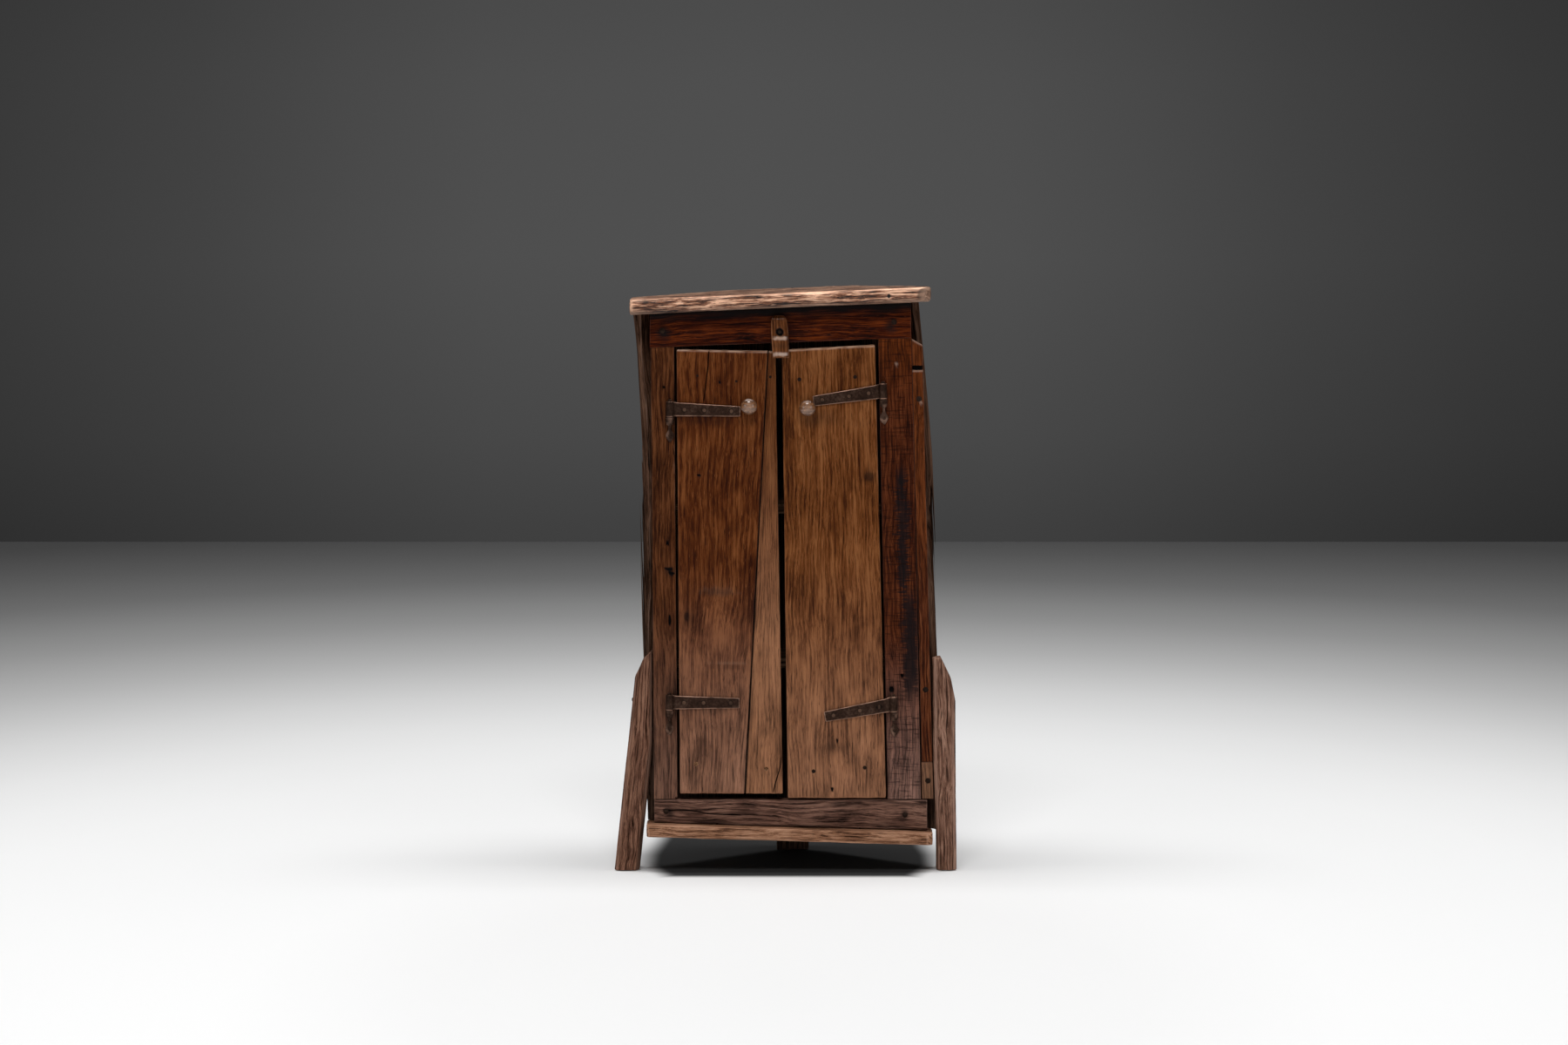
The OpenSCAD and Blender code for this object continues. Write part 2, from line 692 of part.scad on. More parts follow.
function hinge_z(side, upper) = side == LEFT ? (upper ? left_upper_z : left_lower_z)
    : (upper ? right_upper_z : right_lower_z);
function pin_x(side, upper) = stile_in(side, hinge_z(side, upper))
    + side * (upper ? upper_pin_in : lower_pin_in);
function pin_tilt(side) = atan((pin_x(side, true) - pin_x(side, false))
    / (hinge_z(side, true) - hinge_z(side, false)));

// Axes of a hinge: z up the pin, y to the back, and x to the right
module hinge_axes(side, upper) {
    translate([pin_x(side, upper), -pin_proud, hinge_z(side, upper)])
        rotate([0, pin_tilt(side), 0]) children();
}

module strap(side, drop) mirror([side == RIGHT ? 1 : 0, 0, 0]) difference() {
    back = pin_proud - door_proud - seat;
    union() {
        cylinder(h = eye_h, r = eye_r, center = true);
        rotate([0, drop, 0]) slab([[0, -strap_root_w / 2], [strap_l - 3, -strap_tip_w / 2],
            [strap_l, -strap_tip_w / 2 + 3], [strap_l, strap_tip_w / 2 - 3],
            [strap_l - 3, strap_tip_w / 2], [0, strap_root_w / 2]], back - strap_t, strap_t);
    }
    cylinder(h = eye_h + 2, r = pin_r + running, center = true);
    at_strap_nails(drop) nail_hole(strap_nail_l);
}

// Nails along a strap that runs towards +x and drops by an angle
strap_nail_l = door_t - 3 + strap_t;
strap_nail_x = [24, 56, 100];
module at_strap_nails(drop) {
    front = pin_proud - door_proud - seat - strap_t;
    rotate([0, drop, 0]) for (x = strap_nail_x) translate([x, front, 0]) rotate([-90, 0, 0])
        children();
}
function strap_drop(side, upper) = side == LEFT ? (upper ? 1.7 : 0.3) : (upper ? 6.1 : 8.4);
module on_straps(side) {
    for (upper = [true, false]) hinge_axes(side, upper) mirror([side == RIGHT ? 1 : 0, 0, 0])
        at_strap_nails(strap_drop(side, upper)) children();
}

module strap_on(side, upper) placed() color(iron)
    hinge_axes(side, upper) strap(side, strap_drop(side, upper));
module left_upper_strap() strap_on(LEFT, true);
module left_lower_strap() strap_on(LEFT, false);
module right_upper_strap() strap_on(RIGHT, true);
module right_lower_strap() strap_on(RIGHT, false);

// The pintle: pin, collar, spike driven into the stile, rat tail and leaf
collar_h = 12;
collar_top = -eye_h / 2 - seat;
collar_low = collar_top - collar_h;
spike_w = 7;
tail_drop = 12;
leaf_t = 2.8;
leaf_z = collar_low - tail_drop - leaf_h * 0.3;
tail_low = leaf_z + head_r + 0.4;
leaf_nail_reach = 15;
leaf_nail_l = leaf_t + leaf_nail_reach;

module spike(gap = 0) {
    translate([-spike_w / 2 - gap, 0, collar_low + 2.5 - gap])
        cube([spike_w + 2 * gap, pin_proud + spike_l + gap, spike_w + 2 * gap]);
}
module at_leaf_nail() {
    translate([0, pin_proud - seat - leaf_t, leaf_z]) rotate([-90, 0, 0]) children();
}

module pintle(side, upper) placed() color(iron) hinge_axes(side, upper) difference() {
    back = pin_proud - seat;
    r = (pow(leaf_w / 2, 2) + pow(leaf_h / 2, 2)) / leaf_w;
    union() {
        translate([0, 0, collar_low + 1]) cylinder(h = eye_h + collar_h + 2, r = pin_r);
        translate([0, 0, collar_low]) cylinder(h = collar_h, d = collar_d);
        spike();
        translate([-tail_w / 2, 0, 0]) rotate([90, 0, 90]) linear_extrude(tail_w) polygon([
            [-3, collar_low + 2], [3, collar_low + 2], [3.2, collar_low - 4],
            [back, tail_low + 6], [back, tail_low], [back - leaf_t, tail_low],
            [back - leaf_t - 0.6, tail_low + 4], [-1.5, collar_low - 6]
        ]);
        translate([0, back, leaf_z]) rotate([90, 0, 0]) linear_extrude(leaf_t) intersection() {
            translate([r - leaf_w / 2, 0]) circle(r);
            translate([-r + leaf_w / 2, 0]) circle(r);
        }
    }
    at_leaf_nail() nail_hole(leaf_nail_l);
}
module left_upper_pintle() pintle(LEFT, true);
module left_lower_pintle() pintle(LEFT, false);
module right_upper_pintle() pintle(RIGHT, true);
module right_lower_pintle() pintle(RIGHT, false);

/* Doors: boards on the outside, ledges nailed across the back */

function free_x(side, z) = seam(z) + side * middle_gap(z) / 2;
function hinge_x(side, z) = stile_in(side, z) - side * side_gap;
function split_x(z) = free_x(LEFT, z) - strip_w(z);
left_low = sill_z + left_sill_gap;
right_low = sill_z + right_sill_gap;

// Holes through a door for its knob, nails and pegs
module door_holes(side) {
    knob_axes(side) cylinder(h = door_t + 4, r = knob_tenon_d / 2 + fit);
    on_straps(side) nail_hole(strap_nail_l);
    at_ledge_nails(side) nail_hole(ledge_nail_l);
    if (side == LEFT) at_ledge_pegs() cylinder(h = ledge_peg_l + seat, r = peg_r + fit);
}

module left_door_board() placed() color(warm_oak) difference() {
    z1 = head(hinge_x(LEFT, head_z)) - left_head_gap;
    z2 = head(split_x(head_z)) - left_free_gap + 1;
    slab([[hinge_x(LEFT, left_low), left_low], [split_x(left_low) - seat, left_low],
        [split_x(z2) - seat, z2], [hinge_x(LEFT, z1), z1]], -door_proud, door_t);
    door_holes(LEFT);
}
module left_door_strip() placed() color(pale_oak) difference() {
    z2 = head(split_x(head_z)) - left_free_gap + 1;
    z3 = head(free_x(LEFT, head_z)) - left_free_gap;
    slab([[split_x(left_low), left_low], [free_x(LEFT, left_low), left_low],
        [free_x(LEFT, z3), z3], [split_x(z2), z2]], -door_proud, door_t);
    door_holes(LEFT);
}
module right_door_board() placed() color(warm_oak) difference() {
    z1 = head(hinge_x(RIGHT, head_z)) - right_head_gap;
    z2 = head(free_x(RIGHT, head_z)) - right_free_gap;
    slab([[free_x(RIGHT, right_low), right_low], [hinge_x(RIGHT, right_low), right_low],
        [hinge_x(RIGHT, z1), z1], [free_x(RIGHT, z2), z2]], -door_proud, door_t);
    door_holes(RIGHT);
}

// A ledge across the back of a door, clear of the stile and of the other door
ledge_free_in = 6;
ledge_nail_l = door_t + ledge_t - 2;
ledge_peg_l = door_t + ledge_t;
module ledge(side, z) placed() color(dark_oak) difference() {
    low = z - ledge_h / 2;
    high = z + ledge_h / 2;
    a = [hinge_x(side, low) - side * ledge_in, low];
    b = [free_x(side, low) + side * ledge_free_in, low];
    c = [free_x(side, high) + side * ledge_free_in, high];
    d = [hinge_x(side, high) - side * ledge_in, high];
    slab([a, b, c, d], door_t - door_proud + seat / 3, ledge_t);
    at_ledge_nails(side) nail_hole(ledge_nail_l);
    if (side == LEFT) at_ledge_pegs() cylinder(h = ledge_peg_l + 2, r = peg_r + fit);
}
module left_upper_ledge() ledge(LEFT, upper_ledge_z);
module left_lower_ledge() ledge(LEFT, lower_ledge_z);
module right_upper_ledge() ledge(RIGHT, upper_ledge_z);
module right_lower_ledge() ledge(RIGHT, lower_ledge_z);

// The left door's lower ledge is pegged, and the other ledges are nailed
hinge_nail_in = 34;
split_nail_in = 50;
upper_free_nail_in = 28;
lower_free_nail_in = 43;
peg_in = 27;
module at_ledge_nails(side) {
    z = upper_ledge_z;
    low = lower_ledge_z;
    if (side == LEFT) {
        into_front(split_x(z) - split_nail_in, z - 3, -door_proud) children();
        into_front(hinge_x(side, z) + hinge_nail_in, z + 6, -door_proud) children();
        into_front(free_x(side, z) - strip_w(z) / 2 - 2, z + 4, -door_proud) children();
    } else {
        into_front(free_x(side, z) + upper_free_nail_in, z, -door_proud) children();
        into_front(hinge_x(side, z) - hinge_nail_in, z + 4, -door_proud) children();
        into_front(free_x(side, low) + lower_free_nail_in, low - 6, -door_proud) children();
        into_front(hinge_x(side, low) - hinge_nail_in, low, -door_proud) children();
    }
}
module at_ledge_pegs() {
    z = lower_ledge_z;
    into_front(hinge_x(LEFT, z) + peg_in, z + 6, -door_proud) children();
    into_front(free_x(LEFT, z) - peg_in, z - 2, -door_proud) children();
}

module left_ledge_nails() placed() color(iron) at_ledge_nails(LEFT) nail(ledge_nail_l);
module right_ledge_nails() placed() color(iron) at_ledge_nails(RIGHT) nail(ledge_nail_l);
module left_ledge_pegs() placed() color(pale_oak) at_ledge_pegs() cylinder(h = ledge_peg_l, r = peg_r);
module left_strap_nails() placed() color(iron) on_straps(LEFT) nail(strap_nail_l);
module right_strap_nails() placed() color(iron) on_straps(RIGHT) nail(strap_nail_l);

/* Turned knobs, tenoned through the doors */

module knob_axes(side) {
    z = side == LEFT ? left_knob_z : right_knob_z;
    inset = side == LEFT ? left_knob_in : right_knob_in;
    into_front(free_x(side, z) + side * inset, z, -door_proud) children();
}
module knob(side) placed() color(pale_oak) knob_axes(side) {
    r = knob_d / 2;
    bulge = 16;
    rim = knob_out - bulge * 0.45;
    translate([0, 0, -seat - 1]) cylinder(h = door_t + 1, r = knob_tenon_d / 2);
    translate([0, 0, -seat]) mirror([0, 0, 1]) {
        cylinder(h = rim - 4, r1 = r * 0.56, r2 = r * 0.5);
        translate([0, 0, rim - 6]) cylinder(h = 4, r1 = r * 0.6, r2 = r);
        translate([0, 0, rim - 2]) cylinder(h = 2.5, r = r);
        translate([0, 0, rim]) intersection() {
            cylinder(h = knob_out, r = r);
            translate([0, 0, knob_out - rim - seat - bulge]) sphere(bulge, $fn = 64);
        }
    }
}
module left_knob() knob(LEFT);
module right_knob() knob(RIGHT);

/* Turn button: a stepped wooden finger that turns on a nail and laps over both doors */

module turn_button() placed() color(warm_oak) difference() {
    back = 0.5;
    foot_back = door_proud + 1;
    foot_front = foot_back + button_foot_t;
    step_z = -22;
    translate([-button_x - button_w / 2, 0, button_z]) rotate([90, 0, 90])
        linear_extrude(button_w) polygon([
            [-back, button_up - 3], [-back, step_z], [-foot_back, step_z - 1],
            [-foot_back, -button_down], [-foot_front + 2, -button_down],
            [-foot_front, -button_down + 5], [-foot_front, -9], [-button_t, -5],
            [-button_t, button_up - 7], [-button_t + 5, button_up], [-back - 3, button_up]
        ]);
    at_button_nail() translate([0, 0, -5]) cylinder(h = button_nail_l, r = button_nail_r + running);
}
button_nail_r = 2.2;
module button_nail() placed() color(iron) at_button_nail() nail(button_nail_l, button_nail_r);

/* Nails in the carcass */

module frame_nails() placed() color(iron) at_frame_nails() nail(frame_nail_l);
module top_nails() placed() color(iron) at_top_nails() nail(top_nail_l);
module bottom_nails() placed() color(iron) at_bottom_nails() nail(bottom_nail_l);
module plank_nails() placed() color(iron) {
    at_front_plank_nails() nail(plank_nail_l);
    at_rear_plank_nails() nail(post_nail_l);
}
module batten_nails() placed() color(iron) at_batten_nails() nail(batten_nail_l);
module leg_spikes() placed() color(iron) at_leg_spikes() nail(leg_spike_l, spike_r);
module cleat_nails() placed() color(iron)
    for (side = [LEFT, RIGHT], z = [lower_shelf_z, upper_shelf_z])
        at_cleat_nails(side, z) nail(cleat_nail_l);
module pintle_nails() placed() color(iron)
    for (side = [LEFT, RIGHT], upper = [true, false])
        hinge_axes(side, upper) at_leaf_nail() nail(leaf_nail_l);

top_board();
bottom_board();
top_rail();
bottom_rail();
left_stile();
right_stile();
upper_edge_batten();
lower_edge_batten();
left_side_plank();
right_side_plank();
rear_post();
left_leg();
right_leg();
lower_shelf();
upper_shelf();
lower_left_cleat();
lower_right_cleat();
upper_left_cleat();
upper_right_cleat();
left_upper_pintle();
left_lower_pintle();
right_upper_pintle();
right_lower_pintle();
button_nail();
frame_nails();
top_nails();
bottom_nails();
plank_nails();
batten_nails();
leg_spikes();
cleat_nails();
pintle_nails();
left_door_board();
left_door_strip();
left_upper_ledge();
left_lower_ledge();
left_upper_strap();
left_lower_strap();
left_knob();
left_strap_nails();
left_ledge_nails();
left_ledge_pegs();
right_door_board();
right_upper_ledge();
right_lower_ledge();
right_upper_strap();
right_lower_strap();
right_knob();
right_strap_nails();
right_ledge_nails();
turn_button();
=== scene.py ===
import json
import math

import bpy
import numpy as np
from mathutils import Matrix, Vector


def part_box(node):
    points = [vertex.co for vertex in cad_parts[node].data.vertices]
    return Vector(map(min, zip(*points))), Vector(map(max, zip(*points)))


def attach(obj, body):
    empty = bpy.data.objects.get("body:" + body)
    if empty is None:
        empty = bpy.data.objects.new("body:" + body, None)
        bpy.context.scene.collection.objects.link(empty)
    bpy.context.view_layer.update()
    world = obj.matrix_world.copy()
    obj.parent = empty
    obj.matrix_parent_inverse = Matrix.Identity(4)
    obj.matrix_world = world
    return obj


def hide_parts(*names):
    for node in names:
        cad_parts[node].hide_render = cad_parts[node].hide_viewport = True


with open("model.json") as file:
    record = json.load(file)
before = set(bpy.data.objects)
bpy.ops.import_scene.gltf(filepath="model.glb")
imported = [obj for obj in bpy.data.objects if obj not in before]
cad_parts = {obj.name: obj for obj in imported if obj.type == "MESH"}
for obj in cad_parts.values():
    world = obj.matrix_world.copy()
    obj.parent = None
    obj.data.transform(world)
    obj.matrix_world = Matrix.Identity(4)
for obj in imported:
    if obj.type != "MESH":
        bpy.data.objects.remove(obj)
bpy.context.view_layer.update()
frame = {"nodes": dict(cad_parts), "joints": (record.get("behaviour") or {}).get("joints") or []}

# Studio
# A white floor whose colour falls off to grey, a painted pool of light, and is painted darker under the
# cabinet;
# a grey backdrop with painted light on it; a broad soft lamp overhead, a smaller one high in front and two
# weak fills. The camera has an 85 mm lens and stands six metres in front of the cabinet, a little above its
# top.
PHOTO_W = 1800
PHOTO_LENS = 4250
PHOTO_MIDDLE_Y = 600
HORIZON_Y = 203
EYE_HEIGHT = 1.135
EYE_DISTANCE = 6.0
SENSOR = 36.0

# Where the cabinet is measured from: its plumb line and the face of its frame, in row millimetres
POST_RIGHT_OF_PLUMB = 15
post_low, post_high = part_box("rear_post")
frame_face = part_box("top_rail")[0].y
PLUMB = np.array([(post_low.x + post_high.x) * 500 - POST_RIGHT_OF_PLUMB, frame_face * 1000, 0])

camera_data = bpy.data.cameras.new("camera")
camera_data.sensor_width = SENSOR
camera_data.lens = SENSOR * PHOTO_LENS / PHOTO_W
camera = bpy.data.objects.new("camera", camera_data)
bpy.context.scene.collection.objects.link(camera)
camera.location = (PLUMB[0] / 1000, PLUMB[1] / 1000 - EYE_DISTANCE, EYE_HEIGHT)
down = math.atan((PHOTO_MIDDLE_Y - HORIZON_Y) / PHOTO_LENS)
camera.rotation_euler = (math.pi / 2 - down, 0, 0)
bpy.context.scene.camera = camera
bpy.context.scene.view_settings.view_transform = "Standard"


class Tone:
    """A value that varies over a surface. Sums on it add Math nodes."""

    def __init__(self, finish, socket):
        self.finish = finish
        self.socket = socket

    def math(self, operation, first, second=None):
        values = {0: first} if second is None else {0: first, 1: second}
        return self.finish.node("ShaderNodeMath", {"operation": operation}, values)

    def __add__(self, other):
        return self.math("ADD", self, other)

    __radd__ = __add__

    def __sub__(self, other):
        return self.math("SUBTRACT", self, other)

    def __rsub__(self, other):
        return self.math("SUBTRACT", other, self)

    def __mul__(self, other):
        return self.math("MULTIPLY", self, other)

    def sine(self):
        return self.math("SINE", self)

    def size(self):
        return self.math("ABSOLUTE", self)

    def highest(self, other):
        return self.math("MAXIMUM", self, other)


class Finish:
    """A node tree that is being put together."""

    def __init__(self, owner):
        self.owner = owner
        owner.use_nodes = True
        self.tree = owner.node_tree
        self.tree.nodes.clear()

    def node(self, kind, settings=None, values=None, outlet=0):
        """Adds a node with its settings and the values of its inputs, and gives one of its outlets."""
        made = self.tree.nodes.new(kind)
        for key, setting in (settings or {}).items():
            if key == "stops":
                ramp = made.color_ramp
                while len(ramp.elements) < len(setting):
                    ramp.elements.new(0.5)
                for element, (place, colour) in zip(ramp.elements, setting):
                    element.position = place
                    element.color = (*colour, 1)
            else:
                setattr(made, key, setting)
        for key, value in (values or {}).items():
            socket = made.inputs[key]
            if isinstance(value, Tone):
                self.tree.links.new(value.socket, socket)
            elif isinstance(value, tuple) and len(value) == 3 and socket.type == "RGBA":
                socket.default_value = (*value, 1)
            else:
                socket.default_value = value
        return Tone(self, made.outputs[outlet])

    def vector(self, operation, first, second=(0, 0, 0), outlet=0):
        return self.node("ShaderNodeVectorMath", {"operation": operation}, {0: first, 1: second}, outlet)

    def part(self, vector, axis):
        return self.node("ShaderNodeSeparateXYZ", None, {0: vector}, axis)

    def attribute(self, name, outlet=1):
        return self.node("ShaderNodeAttribute", {"attribute_name": name}, None, outlet)

    def noise(self, vector, scale, detail=2.0, rough=0.5):
        values = {"Vector": self.vector("MULTIPLY", vector, scale), "Scale": 1.0, "Detail": detail}
        return self.node("ShaderNodeTexNoise", None, {**values, "Roughness": rough})

    def step(self, value, low, high):
        values = {"Value": value, "From Min": low, "From Max": high}
        return self.node("ShaderNodeMapRange", {"interpolation_type": "SMOOTHSTEP"}, values)

    def mix(self, amount, first, second, kind="MIX"):
        settings = {"data_type": "RGBA", "blend_type": kind}
        return self.node("ShaderNodeMix", settings, {0: amount, 6: first, 7: second}, 2)

    def ramp(self, value, stops):
        return self.node("ShaderNodeValToRGB", {"stops": stops}, {0: value})

    def end(self, kind, shader):
        out = self.tree.nodes.new(kind)
        self.tree.links.new(shader.socket, out.inputs["Surface"])
        return self.owner


def grey(level):
    return (level, level, level)


def greys(*stops):
    return [(place, grey(level)) for place, level in stops]


FLOOR_SIDE, FLOOR_FRONT, FLOOR_BACK = 11.0, -8.9, 5.4
SPOT_Y = -1.0
SPOT_STRETCH = 1.44
SPOT_REACH = 7.0
floor_mesh = bpy.data.meshes.new("floor")
floor_mesh.from_pydata([(-FLOOR_SIDE, FLOOR_FRONT, 0), (FLOOR_SIDE, FLOOR_FRONT, 0),
                        (FLOOR_SIDE, FLOOR_BACK, 0), (-FLOOR_SIDE, FLOOR_BACK, 0)], [], [(0, 1, 2, 3)])
floor = bpy.data.objects.new("floor", floor_mesh)
bpy.context.scene.collection.objects.link(floor)
paint = Finish(bpy.data.materials.new("studio_floor"))
where = paint.node("ShaderNodeTexCoord", None, None, 3)
oval = paint.vector("SUBTRACT", where, (0, SPOT_Y, 0))
oval = paint.vector("MULTIPLY", oval, (SPOT_STRETCH / SPOT_REACH, 1 / SPOT_REACH, 0))
# Painted pool of light: the floor's colour is pale round a spot in front of the cabinet and falls to grey
# towards the back and the far sides.
shade = paint.ramp(paint.vector("LENGTH", oval, outlet=1), greys(
    (0.0, 0.77), (0.1, 0.79), (0.16, 0.84), (0.3, 0.87), (0.343, 0.86), (0.386, 0.83), (0.446, 0.75),
    (0.493, 0.66), (0.539, 0.57), (0.637, 0.415), (0.684, 0.365), (0.771, 0.26), (0.871, 0.2), (1.0, 0.14),
))

# Painted shadow: the floor is darkened where the cabinet stands, as far as its contact shadow reaches.
# The painted patch has soft edges, cut-off front corners and sides that draw in a little behind its waist.
PATCH_X = 0.01 + PLUMB[0] / 1000
PATCH_HALF = 0.259
PATCH_FRONT, PATCH_CORNER, PATCH_WAIST, PATCH_BACK = np.array([-0.066, 0.05, 0.14, 0.45]) + PLUMB[1] / 1000
PATCH_SIDE_SOFT, PATCH_FRONT_SOFT, PATCH_BACK_SOFT = 0.045, 0.03, 0.15
PATCH_CUT, PATCH_TAPER = 0.35, 0.1
PATCH_LEAST = 0.045
side_way, back_way = paint.part(where, 0), paint.part(where, 1)
beside = (side_way - PATCH_X).size() + (back_way - PATCH_WAIST).highest(0.0) * PATCH_TAPER
beside = beside + (PATCH_CORNER - back_way).highest(0.0) * PATCH_CUT
clear = paint.step(beside, PATCH_HALF - PATCH_SIDE_SOFT, PATCH_HALF)
clear = clear.highest(paint.step(back_way, PATCH_FRONT + PATCH_FRONT_SOFT, PATCH_FRONT))
clear = clear.highest(paint.step(back_way, PATCH_BACK - PATCH_BACK_SOFT, PATCH_BACK))
shade = paint.mix(clear * (1 - PATCH_LEAST) + PATCH_LEAST, grey(0.0), shade)
floor_coat = paint.node("ShaderNodeBsdfPrincipled", None, {
    "Base Color": shade, "Roughness": 0.85, "Specular IOR Level": 0.1,
})
floor_mesh.materials.append(paint.end("ShaderNodeOutputMaterial", floor_coat))

# The backdrop is what the camera and any gloss see; everything else sees a soft white room
DOME = 0.06
GLOW_LEFT = -0.01
GLOW_REACH = 0.25
WALL_LOW, WALL_HIGH = -0.11, 0.06
world = bpy.data.worlds.new("studio")
bpy.context.scene.world = world
air = Finish(world)
rays = air.tree.nodes.new("ShaderNodeLightPath")
seen = Tone(air, rays.outputs["Is Camera Ray"])
for kind in ("Is Glossy Ray", "Is Transmission Ray"):
    seen = seen.highest(Tone(air, rays.outputs[kind]))
way = air.node("ShaderNodeTexCoord")
# Painted light on the backdrop: its grey is darker near the floor and paler higher up, and a painted glow
# makes it paler behind the cabinet and darker to the sides.
rise = air.node("ShaderNodeMapRange", None, {
    "Value": air.part(way, 2), "From Min": WALL_LOW, "From Max": WALL_HIGH,
})
wall = air.ramp(rise, greys((0.0, 0.048), (0.1, 0.054), (0.24, 0.067), (0.52, 0.081), (0.8, 0.078),
                            (1.0, 0.068)))
aside = (air.part(way, 0) - GLOW_LEFT).size() * (1 / GLOW_REACH)
glow = air.ramp(aside, greys((0.0, 1.0), (0.28, 0.95), (0.42, 0.84), (0.58, 0.68), (0.8, 0.52), (1.0, 0.42)))
wall = air.mix(1.0, wall, glow, "MULTIPLY")
room = air.mix(seen, grey(DOME), wall)
air.end("ShaderNodeOutputWorld", air.node("ShaderNodeBackground", None, {"Color": room, "Strength": 1.0}))


def lamp(name, size, place, aim, watts):
    """A soft, four-sided lamp that looks at a place."""
    data = bpy.data.lights.new(name, "AREA")
    data.shape = "RECTANGLE"
    data.size, data.size_y = size
    data.energy = watts
    made = bpy.data.objects.new(name, data)
    bpy.context.scene.collection.objects.link(made)
    made.location = place
    made.rotation_euler = (Vector(aim) - Vector(place)).to_track_quat("-Z", "Y").to_euler()


lamp("overhead_lamp", (8.0, 1.7), (0.05, 0.0, 6.5), (0.05, 0.001, 0.0), 412)
lamp("high_front_lamp", (1.4, 0.7), (-0.15, -2.5, 3.5), (0.0, 0.0, 0.5), 60)
lamp("left_fill_lamp", (1.6, 1.6), (-3.4, -4.0, 1.3), (0.0, 0.0, 0.45), 20)
lamp("right_fill_lamp", (1.6, 1.6), (3.4, -4.0, 1.3), (0.0, 0.0, 0.45), 20)

# Stiles
# Two uprights of the front frame, hewn from oak: the left one narrow and warm, the right one broad,
# redder and still scored by the pit saw. Their back halves run on behind both rails.


def solid(node):
    """Corners of a CAD node in millimetres, from the plumb line and the frame's face."""
    mesh = frame["nodes"][node].data
    flat = np.empty(len(mesh.vertices) * 3)
    mesh.vertices.foreach_get("co", flat)
    return flat.reshape(-1, 3) * 1000 - PLUMB


class Outline:
    """The four corners of a board in the front view, and its front and back."""

    def __init__(self, node):
        points = solid(node)
        low, high = points.min(0), points.max(0)
        unit = (points - (high + low) / 2) / ((high - low) / 2)
        self.corner = {}
        for side, end in ((-1, -1), (-1, 1), (1, -1), (1, 1)):
            best = np.argmax(unit[:, 0] * side + unit[:, 2] * end)
            self.corner[side, end] = points[best, [0, 2]]
        self.front, self.back = low[1], high[1]
        start = self.corner[-1, -1]
        wide, tall = (np.linalg.norm(self.corner[key] - start) for key in ((1, -1), (-1, 1)))
        self.size = np.array([wide, tall, self.back - self.front])

    def flat(self, a, b):
        """Where a share of the width and of the height lies in the front view."""
        low = self.corner[-1, -1][:, None] * (1 - a) + self.corner[1, -1][:, None] * a
        high = self.corner[-1, 1][:, None] * (1 - a) + self.corner[1, 1][:, None] * a
        return low * (1 - b) + high * b

    def find(self, x, z):
        """The share of the width and of the height at a place in the front view."""
        a = b = np.array([0.5])
        for _ in range(12):
            here = self.flat(a, b)
            across = self.flat(np.ones(1), b) - self.flat(np.zeros(1), b)
            along = self.flat(a, np.ones(1)) - self.flat(a, np.zeros(1))
            a = a + (x - here[0]) / across[0]
            b = b + (z - here[1]) / along[1]
        return float(a[0]) * self.size[0], float(b[0]) * self.size[1]

    def place(self, a, b, c):
        x, z = self.flat(a, b)
        return x, self.front + (self.back - self.front) * c, z

    def side(self, side, z):
        """How far across the left (-1) or the right edge (1) is at a height."""
        low, high = self.corner[side, -1], self.corner[side, 1]
        return np.interp(z, [low[1], high[1]], [low[0], high[0]])

    def end(self, end, x):
        """How high the lower (-1) or the upper end (1) is at a place across."""
        left, right = self.corner[-1, end], self.corner[1, end]
        return np.interp(x, [left[0], right[0]], [left[1], right[1]])


def noise(points, cell, seed):
    """Smooth random values from -1 to 1, with about one swing in each cell."""
    spread = points / np.array(cell, float) + np.array([17.3, 5.7, 11.9]) * (seed + 1)
    base = np.floor(spread).astype(np.int64)
    part = spread - base
    part = part * part * (3 - 2 * part)
    total = np.zeros(len(points))
    for corner in np.ndindex(2, 2, 2):
        n = base + np.array(corner)
        mixed = (n[:, 0] * 73856093) ^ (n[:, 1] * 19349663) ^ (n[:, 2] * 83492791)
        mixed = (mixed * 2654435761 + 974634777) & 0x7FFFFFFF
        mixed ^= mixed >> 13
        mixed = (mixed * 1274126177) & 0x7FFFFFFF
        weight = np.prod(np.where(corner, part, 1 - part), 1)
        total += ((mixed & 0xFFFF) / 32767.5 - 1) * weight
    return total


def ruler(length, step):
    """Lines across a length, close together near both ends."""
    lead = np.array([v for v in (0.0, 0.5, 1.3, 2.6, 4.4) if v < length * 0.24])
    count = max(2, math.ceil((length - 2 * lead[-1]) / step))
    middle = np.linspace(lead[-1], length - lead[-1], count + 1)[1:-1]
    return np.concatenate([lead, middle, length - lead[::-1]])


SMOOTH_DEGREES = 42


def piece(name, points, faces, finish, body, slot, nodes, **surface):
    """Makes a mesh in millimetres from the plumb line into a piece that rides on a body."""
    mesh = bpy.data.meshes.new(name)
    mesh.from_pydata(((points + PLUMB) / 1000).tolist(), [], faces)
    a, b, c = (points[[face[k] for face in faces]] for k in range(3))
    if (a * np.cross(b - a, c - a)).sum() < 0:
        mesh.flip_normals()
    for key, values in surface.items():
        layer = mesh.attributes.new(key, "FLOAT_VECTOR", "POINT")
        layer.data.foreach_set("vector", np.ascontiguousarray(values, np.float32).ravel())
    mesh.polygons.foreach_set("use_smooth", np.ones(len(mesh.polygons), bool))
    mesh.set_sharp_from_angle(angle=math.radians(SMOOTH_DEGREES))
    mesh.materials.append(finish)
    made = bpy.data.objects.new(name, mesh)
    bpy.context.scene.collection.objects.link(made)
    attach(made, body)
    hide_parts(*nodes)
    return made


